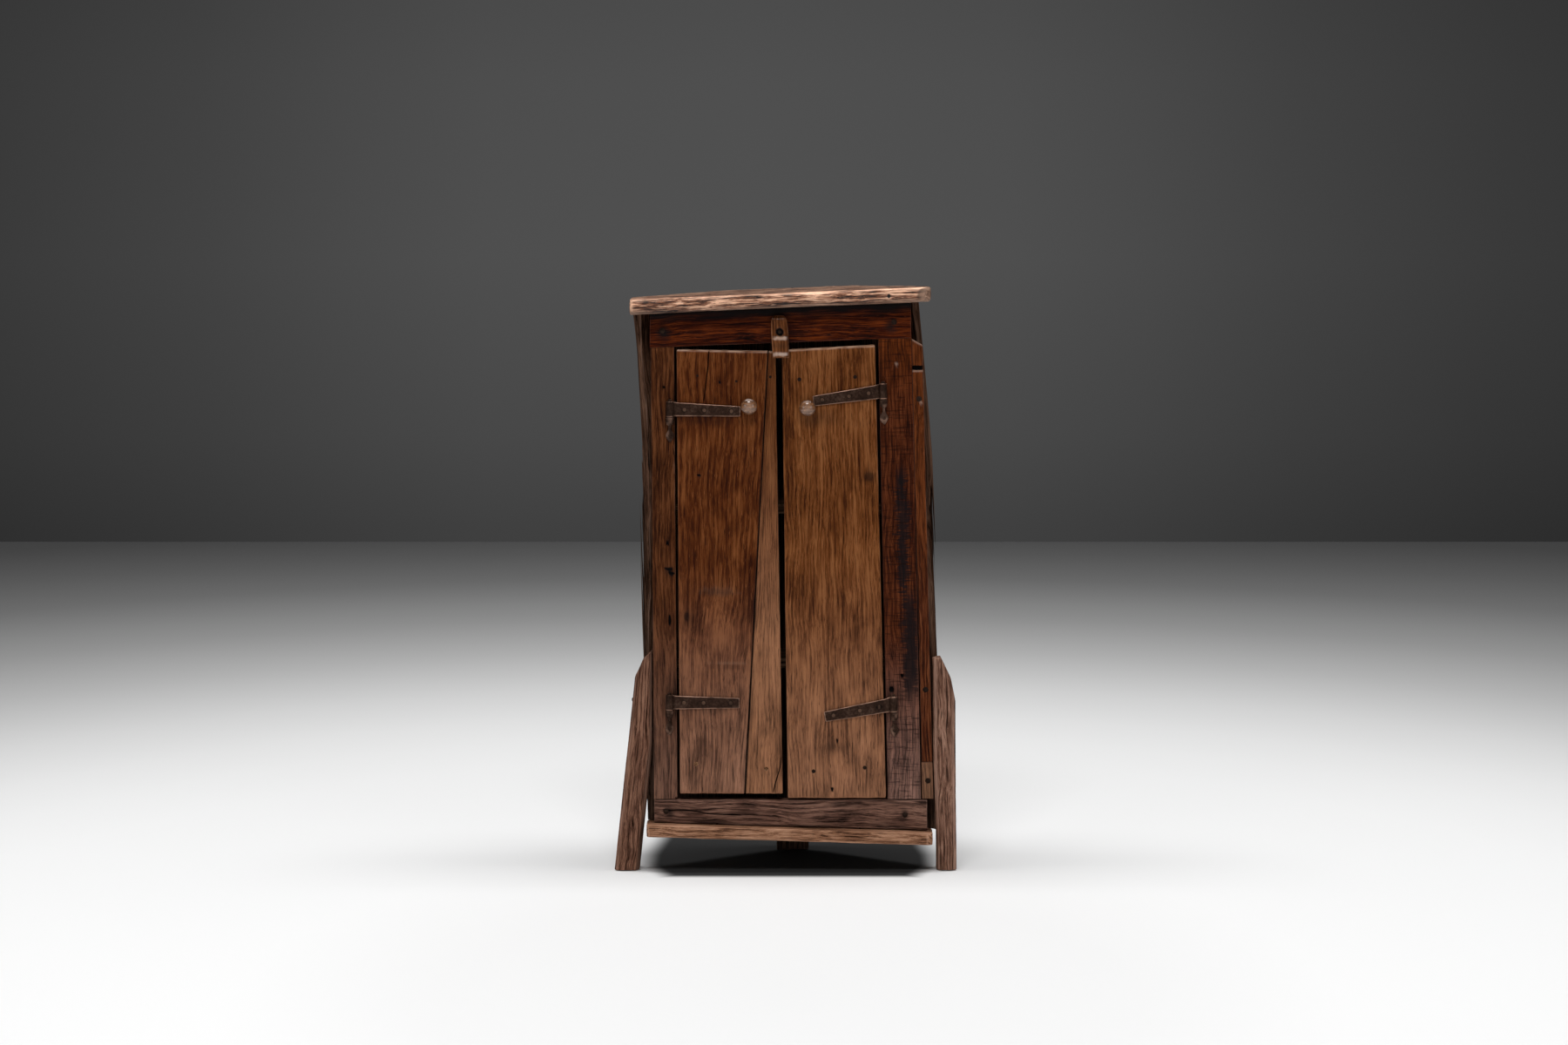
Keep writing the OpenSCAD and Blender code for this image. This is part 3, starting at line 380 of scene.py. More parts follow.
class Block:
    """The skin of a board as a net of lines, before it is shaped."""

    def __init__(self, size, steps, find, extra):
        self.size = np.array(size, float)
        self.rulers = [ruler(length, step) for length, step in zip(size, steps)]
        self.rulers[1] = np.unique(np.concatenate([self.rulers[1], extra]))
        shell = np.ones([len(r) for r in self.rulers], bool)
        shell[1:-1, 1:-1, 1:-1] = False
        number = np.cumsum(shell.ravel()).reshape(shell.shape) - 1
        self.spot = np.stack(np.nonzero(shell), 1)
        self.points = np.stack([self.rulers[k][self.spot[:, k]] for k in range(3)], 1)
        sides = [(number[0], 1), (number[-1], 0), (number[:, 0], 0), (number[:, -1], 1),
                 (number[:, :, 0], 1), (number[:, :, -1], 0)]
        self.faces = []
        for net, flip in sides:
            quads = np.stack([net[:-1, :-1], net[1:, :-1], net[1:, 1:], net[:-1, 1:]], -1).reshape(-1, 4)
            self.faces += (quads[:, ::-1] if flip else quads).tolist()
        self.find = find
        self.front = self.spot[:, 2] == 0
        self.depth, self.deep, self.stain, self.bare = np.zeros((4, len(self.points)))


def waiting(mark):
    """Lets a mark be named with its settings before the block that it goes on is there."""
    return lambda *settings: lambda block: mark(block, *settings)


CRACK_REACH = 45.0
CRACK_EASE = 50
CRACK_END = 8


@waiting
def crack(block, path, width, depth):
    """A split along the grain, through places in the front view from its lower end up."""
    found = np.array(sorted((block.find(x, z) for x, z in path), key=lambda p: p[1]))
    along = block.points[:, 1]
    start, end = found[0, 1], found[-1, 1]
    lines = block.rulers[0]
    column = int(np.argmin(abs(lines - found[:, 0].mean())))
    column = min(max(column, 2), len(lines) - 3)
    home = lines[column]
    span = max(min(CRACK_REACH, home, block.size[0] - home), 1.0)
    run = np.clip((along - start + CRACK_EASE) / CRACK_EASE, 0, 1)
    run *= np.clip((end + CRACK_EASE - along) / CRACK_EASE, 0, 1)
    shift = (np.interp(along, found[:, 1], found[:, 0]) - home) * run
    close = np.clip(1 - abs(lines[block.spot[:, 0]] - home) / span, 0, 1)
    block.points[:, 0] += shift * close
    inside = np.clip((along - start) / CRACK_END + 0.2, 0, 1)
    inside *= np.clip((end - along) / CRACK_END + 0.2, 0, 1)
    inside *= (along > start - 4) & (along < end + 4)
    for side in (-1, 1):
        here = (block.spot[:, 0] == column + side) & (inside > 0)
        block.points[here, 0] = (home + shift + side * (width / 2))[here]
    # The middle line of the split is marked deep, which the finish paints near black: painted shade in the
    # split, with its dirt.
    here = (block.spot[:, 0] == column) & block.front
    block.depth[here] += depth * inside[here]
    block.deep[here] = np.maximum(block.deep[here], inside[here])


def spread_from(block, x, z, rx, rz):
    """Distance from a place in the front view, as a share of a mark's half width and height."""
    a, b = block.find(x, z)
    return np.hypot((block.points[:, 0] - a) / rx, (block.points[:, 1] - b) / rz)


PIT_DRAW = 3.2


@waiting
def pit(block, x, z, rx, rz, depth, black=1.0):
    """A nail hole, knot or gouge, with the net drawn in towards it."""
    a, b = block.find(x, z)
    off = spread_from(block, x, z, rx * PIT_DRAW, rz * PIT_DRAW)
    pull = np.where(block.front, 0.5 * np.clip(1 - off, 0, 1), 0)[:, None]
    block.points[:, :2] += (np.array([a, b]) - block.points[:, :2]) * pull
    off = spread_from(block, x, z, rx, rz)
    low = np.clip(1.25 - off, 0, 1) * block.front
    block.depth += depth * np.minimum(low * 1.6, 1)
    # The middle is marked deep, and the finish paints it dark: painted shade in the hollow, with the dirt and
    # dark wood it holds.
    block.deep = np.maximum(block.deep, black * np.minimum(low * 1.8, 1))


@waiting
def stain(block, x, z, rx, rz, strength=0.8):
    """A dark mark from iron or damp."""
    off = spread_from(block, x, z, rx, rz)
    rough = noise(block.points, (5, 12, 5), 31) * 0.3
    block.stain = np.maximum(block.stain, strength * np.clip(1.25 - off + rough, 0, 1) * block.front)


@waiting
def shade_side(block, side, reach, strength):
    """Darkens the front along one long edge, for dark joints and for painted shade: side 0 is the first edge
    and side 1 the last.
    """
    gap = block.points[:, 0] if side == 0 else block.size[0] - block.points[:, 0]
    rough = noise(block.points, (6, 20, 6), 41) * 0.2
    near = strength * np.clip((1 + rough - gap / reach) * 1.6, 0, 1)
    block.stain = np.maximum(block.stain, near * (block.spot[:, 2] < len(block.rulers[2]) / 2))


@waiting
def slot(block, edge, low, high, lip):
    """A level saw cut across the front of a board, painted black as painted shade, with a lower lip painted
    pale as a painted highlight.
    """
    a, b = (block.points[:, :2] / block.size[:2]).T
    z = edge.flat(a, b)[1]
    block.deep = np.maximum(block.deep, block.front * ((z > low) & (z < high)))
    block.bare = np.maximum(block.bare, 0.45 * block.front * ((z > low - lip) & (z <= low)))


@waiting
def worn_and_lit_head(block, reach=3.8, strength=0.9):
    """The upper arris of a door, painted pale: partly rubbed wear, partly a painted highlight from the light
    above.
    """
    near = np.clip((block.points[:, 1] - block.size[1] + reach) / reach * 1.8, 0, 1)
    patch = near * np.clip(0.75 + noise(block.points, (9, 4, 4), 12) * 0.9, 0, 1)
    block.bare = np.maximum(block.bare, strength * patch)


@waiting
def scrape(block, x, z, rx, rz, depth, strength=0.7):
    """A shallow bruise that shows paler wood; on the turn button, a painted highlight on a bevel."""
    off = spread_from(block, x, z, rx, rz)
    patch = np.clip((1.1 - off + noise(block.points, (4, 4, 4), 77) * 0.45) * 1.5, 0, 1) * block.front
    block.depth += depth * patch
    block.bare = np.maximum(block.bare, strength * patch)


def board(how, node, body, finish, slot, size, steps, place, seed, find=None, edge=1.6, ragged=0.6,
          hewn=0.4, hewn_cell=(55, 170, 55), ridge=0.12, ridge_cell=(5, 80, 5), blunt=2.0, marks=(),
          extra=()):
    """A board with worn arrises, hewn faces and raised grain, set in place in the cabinet."""
    block = Block(size, steps, find, extra)
    size = block.size
    for mark in marks:
        mark(block)
    p = block.points
    wander = 1 + ragged * noise(p, (13, 34, 13), seed) + ragged * 0.5 * noise(p, (5, 9, 5), seed + 1)
    r = np.clip(wander, 0.25, None)[:, None] * np.ones(3) * edge
    r = np.minimum(r, size / 2.1)
    inner = np.clip(p, r, size - r)
    off = (p - inner) / r
    off = off / (abs(off) ** blunt).sum(1, keepdims=True) ** (1 / blunt)
    q = inner + off * r
    out = off / np.linalg.norm(off, axis=1, keepdims=True)
    wave = noise(p, hewn_cell, seed + 2) * 0.7 + noise(p, np.array(hewn_cell) / 2.7, seed + 3) * 0.3
    ribs = noise(p, ridge_cell, seed + 4) * 0.6 + noise(p, np.array(ridge_cell) / 2.1, seed + 5) * 0.4
    furrow = np.clip(-ribs * 1.8 - 0.1, 0, 1)
    depth = hewn * (1 - wave) * 0.6 + ridge * furrow * 2.2 + block.depth
    q = q - out * depth[:, None]
    x, y, z = place(*(q / size).T)
    worn = np.clip((1 - abs(out).max(1)) / 0.25, 0, 1)
    # Furrows between the raised grain add to the deep mark, which the finish darkens: painted shade in the
    # furrows, with their dirt.
    deep = np.clip(block.deep + furrow * min(ridge, 0.6) * 0.8, 0, 1)
    shift = np.array([0.37, 0, 0.23]) * seed
    return piece(
        f"{how}_{node}", np.stack([x, y, z], 1), block.faces, finish, body, slot, [node],
        grain=p / 1000 + shift, wear=np.stack([worn, deep, block.stain], 1),
        bare=np.stack([block.bare] * 3, 1),
    )


def upright(how, node, body, finish, slot, steps, seed, **ways):
    """A board that stands between the four edges of its solid."""
    edge = Outline(node)
    return board(how, node, body, finish, slot, edge.size, steps, edge.place, seed, edge.find, **ways)


def tinted(colour, factor, extra=(0, 0, 0)):
    """A colour made deeper or paler."""
    return tuple(c * factor + d for c, d in zip(colour, extra))


def oak(name, colours, fades=(), gloss=0.5, shine=0.06, streaks=1.0, mottles=1.0, flecks=0.3,
        bump=0.5, bands=(), saw=0.0, swirl=1.0, polish=0.0):
    """Old waxed oak, from a dark, a middle and a light colour.

    Fades are other colours towards an end and bands are black stains along the grain. Saw is how
    strong the scores of the pit saw are, and swirl how much the grain wanders.
    """
    dark, middle, light = colours
    f = Finish(bpy.data.materials.new(name))
    grain, wear, bare = f.attribute("grain"), f.attribute("wear"), f.attribute("bare", 2)
    worn, deep, black = f.part(wear, 0), f.part(wear, 1), f.part(wear, 2)
    across, along = f.part(grain, 0), f.part(grain, 1)
    bend = f.noise(grain, (14, 5.5, 14), 2)
    curl = f.noise(grain, (45, 22, 45), 2)
    lean = f.node("ShaderNodeCombineXYZ", None, {
        0: (bend - 0.5) * (0.02 * swirl) + (curl - 0.5) * (0.0022 * swirl), 2: (bend - 0.5) * 0.013,
    })
    v = f.vector("ADD", grain, lean)
    broad = f.noise(v, (170, 8, 170), 3, 0.65)
    streak = f.noise(v, (460, 14, 460), 6, 0.7)
    fibre = f.noise(v, (1500, 36, 1500), 4, 0.65)
    mottle = f.noise(grain, (26, 9, 26), 4, 0.55)
    blotch = f.noise(grain, (60, 20, 60), 2, 0.5)
    dash = f.noise(v, (620, 60, 620), 2, 0.5)
    pore = f.noise(v, (760, 40, 760), 2, 0.5)
    radius = f.vector("LENGTH", f.vector("MULTIPLY", v, (1, 0.06, 1)), outlet=1)
    ring = (radius * 1150 + bend * 11).sine()
    tone = 0.5 + (streak - 0.5) * (2.1 * streaks) + (fibre - 0.5) * 1.7 + ring * 0.1
    tone = tone + (broad - 0.5) * 1.15 + (mottle - 0.5) * (0.8 * mottles)
    tone = tone + (blotch - 0.5) * (0.45 * mottles)
    colour = f.ramp(tone, [(0.1, dark), (0.48, middle), (0.9, light)])
    for low, high, pale, amount in fades:
        near = (1 - f.step(along, low, high)) * amount
        faded = f.ramp(tone, [(0.1, tinted(pale, 0.34)), (0.5, pale), (0.9, tinted(pale, 1.5))])
        colour = f.mix(near * (0.6 + mottle * 0.6), colour, faded)
    colour = f.mix(f.step(dash, 0.64, 0.74) * flecks, colour, tinted(light, 1.7, grey(0.01)))
    colour = f.mix(f.step(pore, 0.4, 0.28) * 0.75, colour, tinted(dark, 0.35))
    for centre, half, low, high, amount in bands:
        rows = f.noise(grain, (60, 330, 60), 2)
        edge = (across - centre).size() + (mottle - 0.5) * 0.035 + (rows - 0.5) * 0.036
        reach = f.step(along, low, low + 0.04) * f.step(along, high + 0.04, high)
        colour = f.mix(f.step(edge, half, half * 0.35) * reach * amount, colour, (0.006, 0.005, 0.006))
    scored = f.noise(v, (30, 330, 30), 3, 0.65)
    colour = f.mix(f.step(scored, 0.52, 0.66) * saw, colour, tinted(dark, 0.5))
    colour = f.mix(worn * f.step(mottle, 0.25, 0.6) * 0.5, colour, tinted(light, 1.3, grey(0.05)))
    # Paler bare wood: real scrapes and rubbed wear, and painted highlights where the upper arrises, lips,
    # bevels and knob crowns catch the light.
    colour = f.mix(bare * 0.85, colour, tinted(light, 0.9, (0.33, 0.27, 0.225)))
    # The third channel darkens: real iron and damp stains and dirt, dark joints, and painted shade under
    # overhangs, on shaded sides and round the knobs' rims.
    colour = f.mix(black, colour, (0.005, 0.004, 0.004))
    # Painted shade: whatever is marked deep, such as cracks, holes, saw cuts and the furrows between raised
    # grain, is darkened to near black, with the dirt such hollows hold.
    colour = f.mix(f.step(deep, 0.08, 0.75), colour, (0.003, 0.002, 0.002))
    height = fibre * 0.7 + streak * 0.9 + f.step(pore, 0.3, 0.42) * 0.4 + scored * (saw * 0.9)
    normal = f.node("ShaderNodeBump", None, {"Strength": bump, "Distance": 0.0009, "Height": height})
    rough = gloss + (fibre - 0.5) * 0.4 + deep * 0.3 + bare * 0.1 - worn * 0.1
    coat = f.node("ShaderNodeBsdfPrincipled", None, {
        "Base Color": colour, "Roughness": rough, "Specular IOR Level": shine, "Normal": normal,
        "Coat Weight": polish, "Coat Roughness": 0.1,
    })
    return f.end("ShaderNodeOutputMaterial", coat)


left_stile_edge = Outline("left_stile")
right_stile_edge = Outline("right_stile")
top_rail_edge = Outline("top_rail")
bottom_rail_edge = Outline("bottom_rail")
LAP = 11.1
LAP_GAP = 0.2
warm_oak = oak("warm_oak", ((0.018, 0.004, 0.0008), (0.064, 0.017, 0.004), (0.14, 0.048, 0.016)),
               [(-0.02, 0.4, (0.18, 0.096, 0.067), 0.78)], gloss=0.48)
stile_oak = oak("sawn_red_oak", ((0.011, 0.0018, 0.0004), (0.05, 0.0088, 0.0014), (0.12, 0.03, 0.009)),
                [(0.02, 0.34, (0.265, 0.15, 0.117), 0.8), (0.84, 0.68, (0.115, 0.024, 0.0025), 0.8)],
                gloss=0.45, saw=0.6,
                bands=[(0.449, 0.021, 0.2, 0.37, 0.85), (0.44, 0.012, 0.36, 0.57, 0.85)])


def lapped_upright(edge):
    """Sets a stile in place, its front face stopped at the rails."""
    def place(a, b, c):
        x, y, z = edge.place(a, b, c)
        behind = (z > top_rail_edge.end(-1, x)) | (z < bottom_rail_edge.corner[-1, 1][1])
        return x, np.where(behind, np.maximum(y, LAP), y), z
    return place


def lap_lines(edge):
    """Lines close together where a stile passes behind the rails."""
    lines = []
    for x in (edge.corner[-1, 1][0], edge.corner[1, 1][0]):
        share = (x - top_rail_edge.corner[-1, -1][0]) / top_rail_edge.size[0]
        z = top_rail_edge.corner[-1, -1][1] * (1 - share) + top_rail_edge.corner[1, -1][1] * share
        lines.append(edge.find(x, z)[1])
    sill = edge.find(edge.corner[-1, -1][0], bottom_rail_edge.corner[-1, 1][1])[1]
    return np.concatenate([np.arange(min(lines) - 0.6, max(lines) + 0.6, 0.35), sill + np.arange(-1, 1, 0.3)])


board("hewn", "left_stile", "carcass", warm_oak, "oak_warm", left_stile_edge.size, (1.5, 4, 4),
      lapped_upright(left_stile_edge), 1, left_stile_edge.find, edge=1.5, hewn=0.7, ridge=0.2,
      extra=lap_lines(left_stile_edge), marks=[
          pit(-195, 795, 2.2, 2.6, 4), pit(-190, 540, 2.2, 3.0, 4),
          pit(-188, 498, 7, 2.2, 2.5, 0.9), pit(-183, 491, 5, 3.0, 3.0, 0.9), stain(-187, 494, 11, 8, 0.4),
          pit(-186.5, 414, 2.4, 9, 4), crack([(-174.5, 654), (-180.3, 698)], 1.4, 4),
          stain(-187, 280, 16, 30, 0.35), stain(-187, 745, 14, 22, 0.35),
      ])
board("hewn", "right_stile", "carcass", stile_oak, "oak_red", right_stile_edge.size,
      (1.5, 4, 4), lapped_upright(right_stile_edge), 1.1, right_stile_edge.find, edge=1.4, hewn=0.6,
      ridge=0.14, extra=lap_lines(right_stile_edge), marks=[
          pit(193, 323, 2.8, 3, 5), scrape(182, 832, 3.6, 3.6, 0.4, 0.55), stain(176, 290, 14, 26, 0.4),
          pit(176, 300, 4, 5, 4),
      ])

# Rails
# The head and the sill of the front frame, halved over the stiles and nailed there. The head is
# planed and deep red; the sill is a rough, furrowed offcut with a wavy top edge.
rail_oak = oak("red_oak", ((0.003, 0.0004, 0.0001), (0.034, 0.0036, 0.0002), (0.13, 0.024, 0.003)),
               gloss=0.42, streaks=1.1)
sill_oak = oak("rough_oak", ((0.013, 0.0055, 0.0035), (0.125, 0.06, 0.041), (0.26, 0.14, 0.1)),
               gloss=0.6, streaks=1.1)


def lapped_rail(edge):
    """Sets a rail in place, its back cut away where the stiles pass behind it."""
    def place(a, b, c):
        x, y, z = edge.place(b, a, c)
        halved = (x < left_stile_edge.side(1, z)) | (x > right_stile_edge.side(-1, z))
        return x, np.where(halved, np.minimum(y, LAP - LAP_GAP), y), z
    return place


def lying(edge):
    """The size and the finder of a board whose grain runs across the front view."""
    def find(x, z):
        a, b = edge.find(x, z)
        return b, a
    return edge.size[[1, 0, 2]], find


size, find = lying(top_rail_edge)
board("hewn", "top_rail", "carcass", rail_oak, "oak_red", size, (1.5, 4, 4),
      lapped_rail(top_rail_edge), 2, find, edge=1.4, hewn=0.6, ridge=0.18, marks=[
          stain(-195, 883, 13, 11, 0.95), stain(173, 893, 12, 10, 0.9), pit(72, 880, 1.6, 1.6, 2),
          # Painted shadow: the rail's upper edge is darkened where the top board hangs over it.
          shade_side(1, 22, 0.97),
      ])
size, find = lying(bottom_rail_edge)
board("hewn", "bottom_rail", "carcass", sill_oak, "oak_dark", size, (1.3, 3.2, 4),
      lapped_rail(bottom_rail_edge), 3, find, edge=2.6, ragged=0.9, hewn=2.0, hewn_cell=(22, 90, 30),
      ridge=0.8, ridge_cell=(6, 60, 8), marks=[
          stain(-188, 95, 9, 8, 0.8), stain(197, 92, 8, 7, 0.8),
          crack([(-200, 101), (-150, 99), (-120, 94), (-70, 92)], 2.4, 4),
      ])

# Edge battens
# Two short strips that make up the width beside the right stile, butted end to end and nailed to
# the side plank behind. The upper one is cut off aslant at the top and has a saw notch below that.
NOTCH_LOW = 823
NOTCH_HIGH = 830
NOTCH_DEPTH = 5
upper_batten_edge = Outline("upper_edge_batten")
BATTEN_COLOURS = ((0.014, 0.0028, 0.0007), (0.07, 0.0145, 0.0033), (0.16, 0.05, 0.018))
batten_oak = oak("batten_oak", BATTEN_COLOURS, [(0.45, 0.25, (0.11, 0.026, 0.004), 0.6)], gloss=0.46)


def notched(a, b, c):
    """Sets the upper batten in place, with its saw notch."""
    x, y, z = upper_batten_edge.place(a, b, c)
    inside = (z > NOTCH_LOW) & (z < NOTCH_HIGH)
    return x, np.where(inside, np.maximum(y, NOTCH_DEPTH), y), z


notch = [upper_batten_edge.find(upper_batten_edge.corner[side, 1][0], z)[1]
         for side in (-1, 1) for z in (NOTCH_LOW - 4, NOTCH_HIGH + 1)]
board("hewn", "upper_edge_batten", "carcass", batten_oak, "oak_red",
      upper_batten_edge.size, (1.6, 4, 4), notched, 4, upper_batten_edge.find, edge=1.3, hewn=0.5,
      ridge=0.15, extra=np.arange(min(notch), max(notch), 0.6), marks=[
          scrape(221, 771, 3.5, 4, 0.4, 0.5), worn_and_lit_head(3.2, 0.8), shade_side(0, 1.6, 0.9),
          slot(upper_batten_edge, NOTCH_LOW, NOTCH_HIGH, 3.4),
      ])
foot_oak = oak("batten_foot_oak", BATTEN_COLOURS, [(0.03, 0.22, (0.165, 0.083, 0.047), 0.9)], gloss=0.46)
upright("hewn", "lower_edge_batten", "carcass", foot_oak, "oak_red", (1.6, 4, 4), 5, edge=1.3, hewn=0.4)

# Side planks
# Two wide slabs that run back and inwards from the frame to the rear post. Their front edges are the
# live edge of the tree, with wane and worm-eaten sapwood, and they are nailed to stile and post.
PLANK_T = 16
PLANK_ANGLE = math.radians(39)
FRAME_T = 22
CORNER = {-1: -213.8, 1: 249}
LEAN = {-1: math.radians(-0.2), 1: math.radians(0.72)}
SEAT = 0.3
POST_LAP = 4.5
FLOOR_LAP = 1.5
PLANK_LOW, PLANK_TALL = 70, 860
LIVE_SHARE = 0.09
LIVE_EDGE = {
    -1: np.array([(40, 0), (190, 1), (280, 6), (363, 10), (420, 8), (478, 3.5), (558, 5.5), (626, 2.5),
                  (672, 4), (717, 7), (785, 12), (853, 20), (980, 23)]).T,
    1: np.array([(40, 0), (280, 0), (361, -6), (398, -9.5), (448, -11), (500, -14), (547, -19), (602, -14),
                 (655, -13.5), (706, -15), (740, -18.5), (774, -22), (808, -27), (877, -34), (911, -39.5),
                 (980, -44)]).T,
}
BARK = {
    -1: np.array([(40, 4), (350, 6), (400, 5.5), (430, 4), (462, 0), (492, 1.5), (520, 4), (580, 6.5),
                  (636, 6.5), (693, 6), (720, 8.5), (750, 7.5), (778, 6.5), (806, 8), (835, 9.5),
                  (900, 8.5)]).T,
    1: np.array([(40, 6), (370, 8), (492, 4.5), (520, 5), (550, 2.5), (636, 7), (693, 10.5), (750, 11),
                 (778, 9.5), (863, 8), (920, 4)]).T,
}
plank_oak = oak("plank_oak", ((0.007, 0.0028, 0.0012), (0.05, 0.021, 0.011), (0.13, 0.068, 0.042)),
                [(0.0, 0.5, (0.1, 0.062, 0.045), 0.5)], gloss=0.62, streaks=1.1, mottles=1.3)


def chain(u, v, side):
    """The outline of a set of points on one side, as corners to interpolate between."""
    order = np.lexsort((v * side * -1, u))
    line = []
    for i in order:
        while len(line) > 1:
            (u0, v0), (u1, v1) = line[-2:]
            if ((u1 - u0) * (v[i] - v0) - (u[i] - u0) * (v1 - v0)) * side < 0:
                break
            line.pop()
        if not line or u[i] > line[-1][0] + 0.01:
            line.append((u[i], v[i]))
    return np.array(line).T


def along_plank(side, s, t, h):
    """A place in a side plank's own axes: back along it, out through it, and up."""
    lean = LEAN[side]
    out = t * math.cos(lean) - h * math.sin(lean)
    x = CORNER[side] - side * (s * math.cos(PLANK_ANGLE) - out * math.sin(PLANK_ANGLE))
    y = FRAME_T + s * math.sin(PLANK_ANGLE) + out * math.cos(PLANK_ANGLE)
    return x, y, t * math.sin(lean) + h * math.cos(lean)


def plank_place(side, node):
    """Sets a side plank in place between the top and bottom boards, up to the rear post."""
    points = solid(node)
    low, high = (chain(points[:, 0], points[:, 2], end) for end in (-1, 1))
    post_x = points[:, 0].max() if side < 0 else points[:, 0].min()
    lean = LEAN[side]

    def place(a, b, c):
        t = c * PLANK_T
        h = PLANK_LOW + b * PLANK_TALL
        for _ in range(3):
            out = t * math.cos(lean) - h * math.sin(lean)
            end = ((CORNER[side] - post_x) * side + out * math.sin(PLANK_ANGLE)) / math.cos(PLANK_ANGLE)
            end = end + POST_LAP
            flat = np.stack([np.zeros_like(h), h, t], 1)
            rough = noise(flat, (1, 34, 9), 60 + side) * 1.6 + noise(flat, (1, 9, 5), 70 + side) * 1.1
            near = np.clip(1 - a / LIVE_SHARE, 0, 1)
            start = -np.interp(h, *LIVE_EDGE[side]) + near * (1.2 * c ** 3 + rough * (0.3 + c))
            start = start - np.interp(h, *BARK[side]) * c
            s = start + (end - start) * a
            x, y, z = along_plank(side, s, t, h)
            floor_line = np.interp(x, *low) - FLOOR_LAP
            h = floor_line + (np.interp(x, *high) - floor_line) * b
        return along_plank(side, s, t, h)
    return place


for side, word in ((-1, "left"), (1, "right")):
    node = word + "_side_plank"
    low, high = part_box(node)
    length = (high.y - low.y) * 1000 / math.sin(PLANK_ANGLE)
    board("hewn", node, "carcass", plank_oak, "oak_dark", (length, (high.z - low.z) * 1000, PLANK_T),
          (3.6, 6, 3.5), plank_place(side, node), 7 + side, edge=1.8, ragged=0.8, hewn=1.2, ridge=0.35,
          ridge_cell=(8, 110, 8))

# Rear post
# One square post, roughly hewn, that stands on the floor behind and carries both planks and the top.
# From the front only its foot shows, in the dark under the bottom board.
upright("hewn", "rear_post", "carcass", plank_oak, "oak_dark", (3, 7, 3), 11, edge=3.5, hewn=1.6, ridge=0.3)

# Bottom and top boards
# The bottom board is nailed up under the frame and slopes with it. The top is the most weathered
# piece: its front arris is worn round and its summer wood stands up in ridges.
floor_oak = oak("floor_oak", ((0.035, 0.012, 0.005), (0.27, 0.125, 0.067), (0.5, 0.275, 0.17)), gloss=0.6)
top_oak = oak("weathered_oak", ((0.008, 0.002, 0.0008), (0.31, 0.116, 0.056), (1.0, 0.6, 0.4)), gloss=0.4,
              shine=0.3, streaks=1.75, mottles=1.4, bump=0.9)


def flat_board(node):
    """The size of a level board whose grain runs across the cabinet, and what sets it in place."""
    points = solid(node)
    left, right = (chain(points[:, 1], points[:, 0], side) for side in (-1, 1))
    low, high = (chain(points[:, 0], points[:, 2], end) for end in (-1, 1))
    front, back = points[:, 1].min(), points[:, 1].max()
    wide = np.ptp(points[:, 0])
    thick = np.interp(0, *high) - np.interp(0, *low)

    def place(a, b, c):
        y = front + (back - front) * a
        x = np.interp(y, *left) * (1 - b) + np.interp(y, *right) * b
        z = np.interp(x, *low) * (1 - c) + np.interp(x, *high) * c
        return x, y, z
    return (back - front, wide, thick), place


size, place = flat_board("bottom_board")
board("hewn", "bottom_board", "carcass", floor_oak, "oak_dark", size, (2.6, 4.5, 3), place, 12,
      edge=2.6, ragged=0.7, hewn=0.8, ridge=0.3, ridge_cell=(6, 90, 6))
size, top_place = flat_board("top_board")
TOP_LIP = ([-250, 0, 240], [5.5, 3.2, 2.4])
TOP_HOLE = (434, 11.5)
TOP_HOLE_R = 2.6


def lipped(a, b, c):
    """Sets the top board in place, its front edge hanging a little below the head of the frame."""
    x, y, z = top_place(a, b, c)
    return x, y, z - np.interp(x, *TOP_LIP) * np.clip((-0.8 - y) / 3, 0, 1) * (1 - c)


def grimy_shaded_top(block):
    """Dirt on the upper face, painted shade along the lower arris, a darker right-hand end, and a nail hole.
    """
    across, along, up = block.points.T
    rough = noise(block.points, (5, 30, 4), 91) * 0.35
    upper = 0.6 * np.clip((across - 7) / 4 + rough, 0, 1)
    # Painted shade: the lower part of the front edge, which faces down, is darkened.
    lower = 0.72 * np.clip(1.1 - up / 11 + rough, 0, 1)
    corner = 0.65 * (along > block.size[1] - 8)
    block.stain = np.maximum.reduce([block.stain, upper, lower, corner])
    off = np.hypot(along - TOP_HOLE[0], up - TOP_HOLE[1]) / TOP_HOLE_R
    block.deep = np.maximum(block.deep, np.clip(1.6 - off, 0, 1) * (across < 3))


board("weathered", "top_board", "carcass", top_oak, "oak_top", size, (2.0, 4.2, 1.8), lipped, 13,
      edge=(6.5, 4.2, 5.6), ragged=0.5, hewn=1.1, hewn_cell=(40, 120, 40), ridge=0.6,
      ridge_cell=(5, 85, 4), marks=[grimy_shaded_top], extra=np.arange(TOP_HOLE[0] - 5.0, TOP_HOLE[0] + 5.5))

# Front legs
# Two chamfered posts outside the front corners, splayed, whittled to a slant at the top and notched
# over the planks, to which they are spiked.
LEG_D = 42
LEG_PROUD = 4
LEG_CHAMFER = 8
LEG_SWELL = 4.5
SWELL_LOW, SWELL_RUN = 60, 130
SLANT_RUN, SLANT_DROP = 60, 90
LEG_LEAST = 3


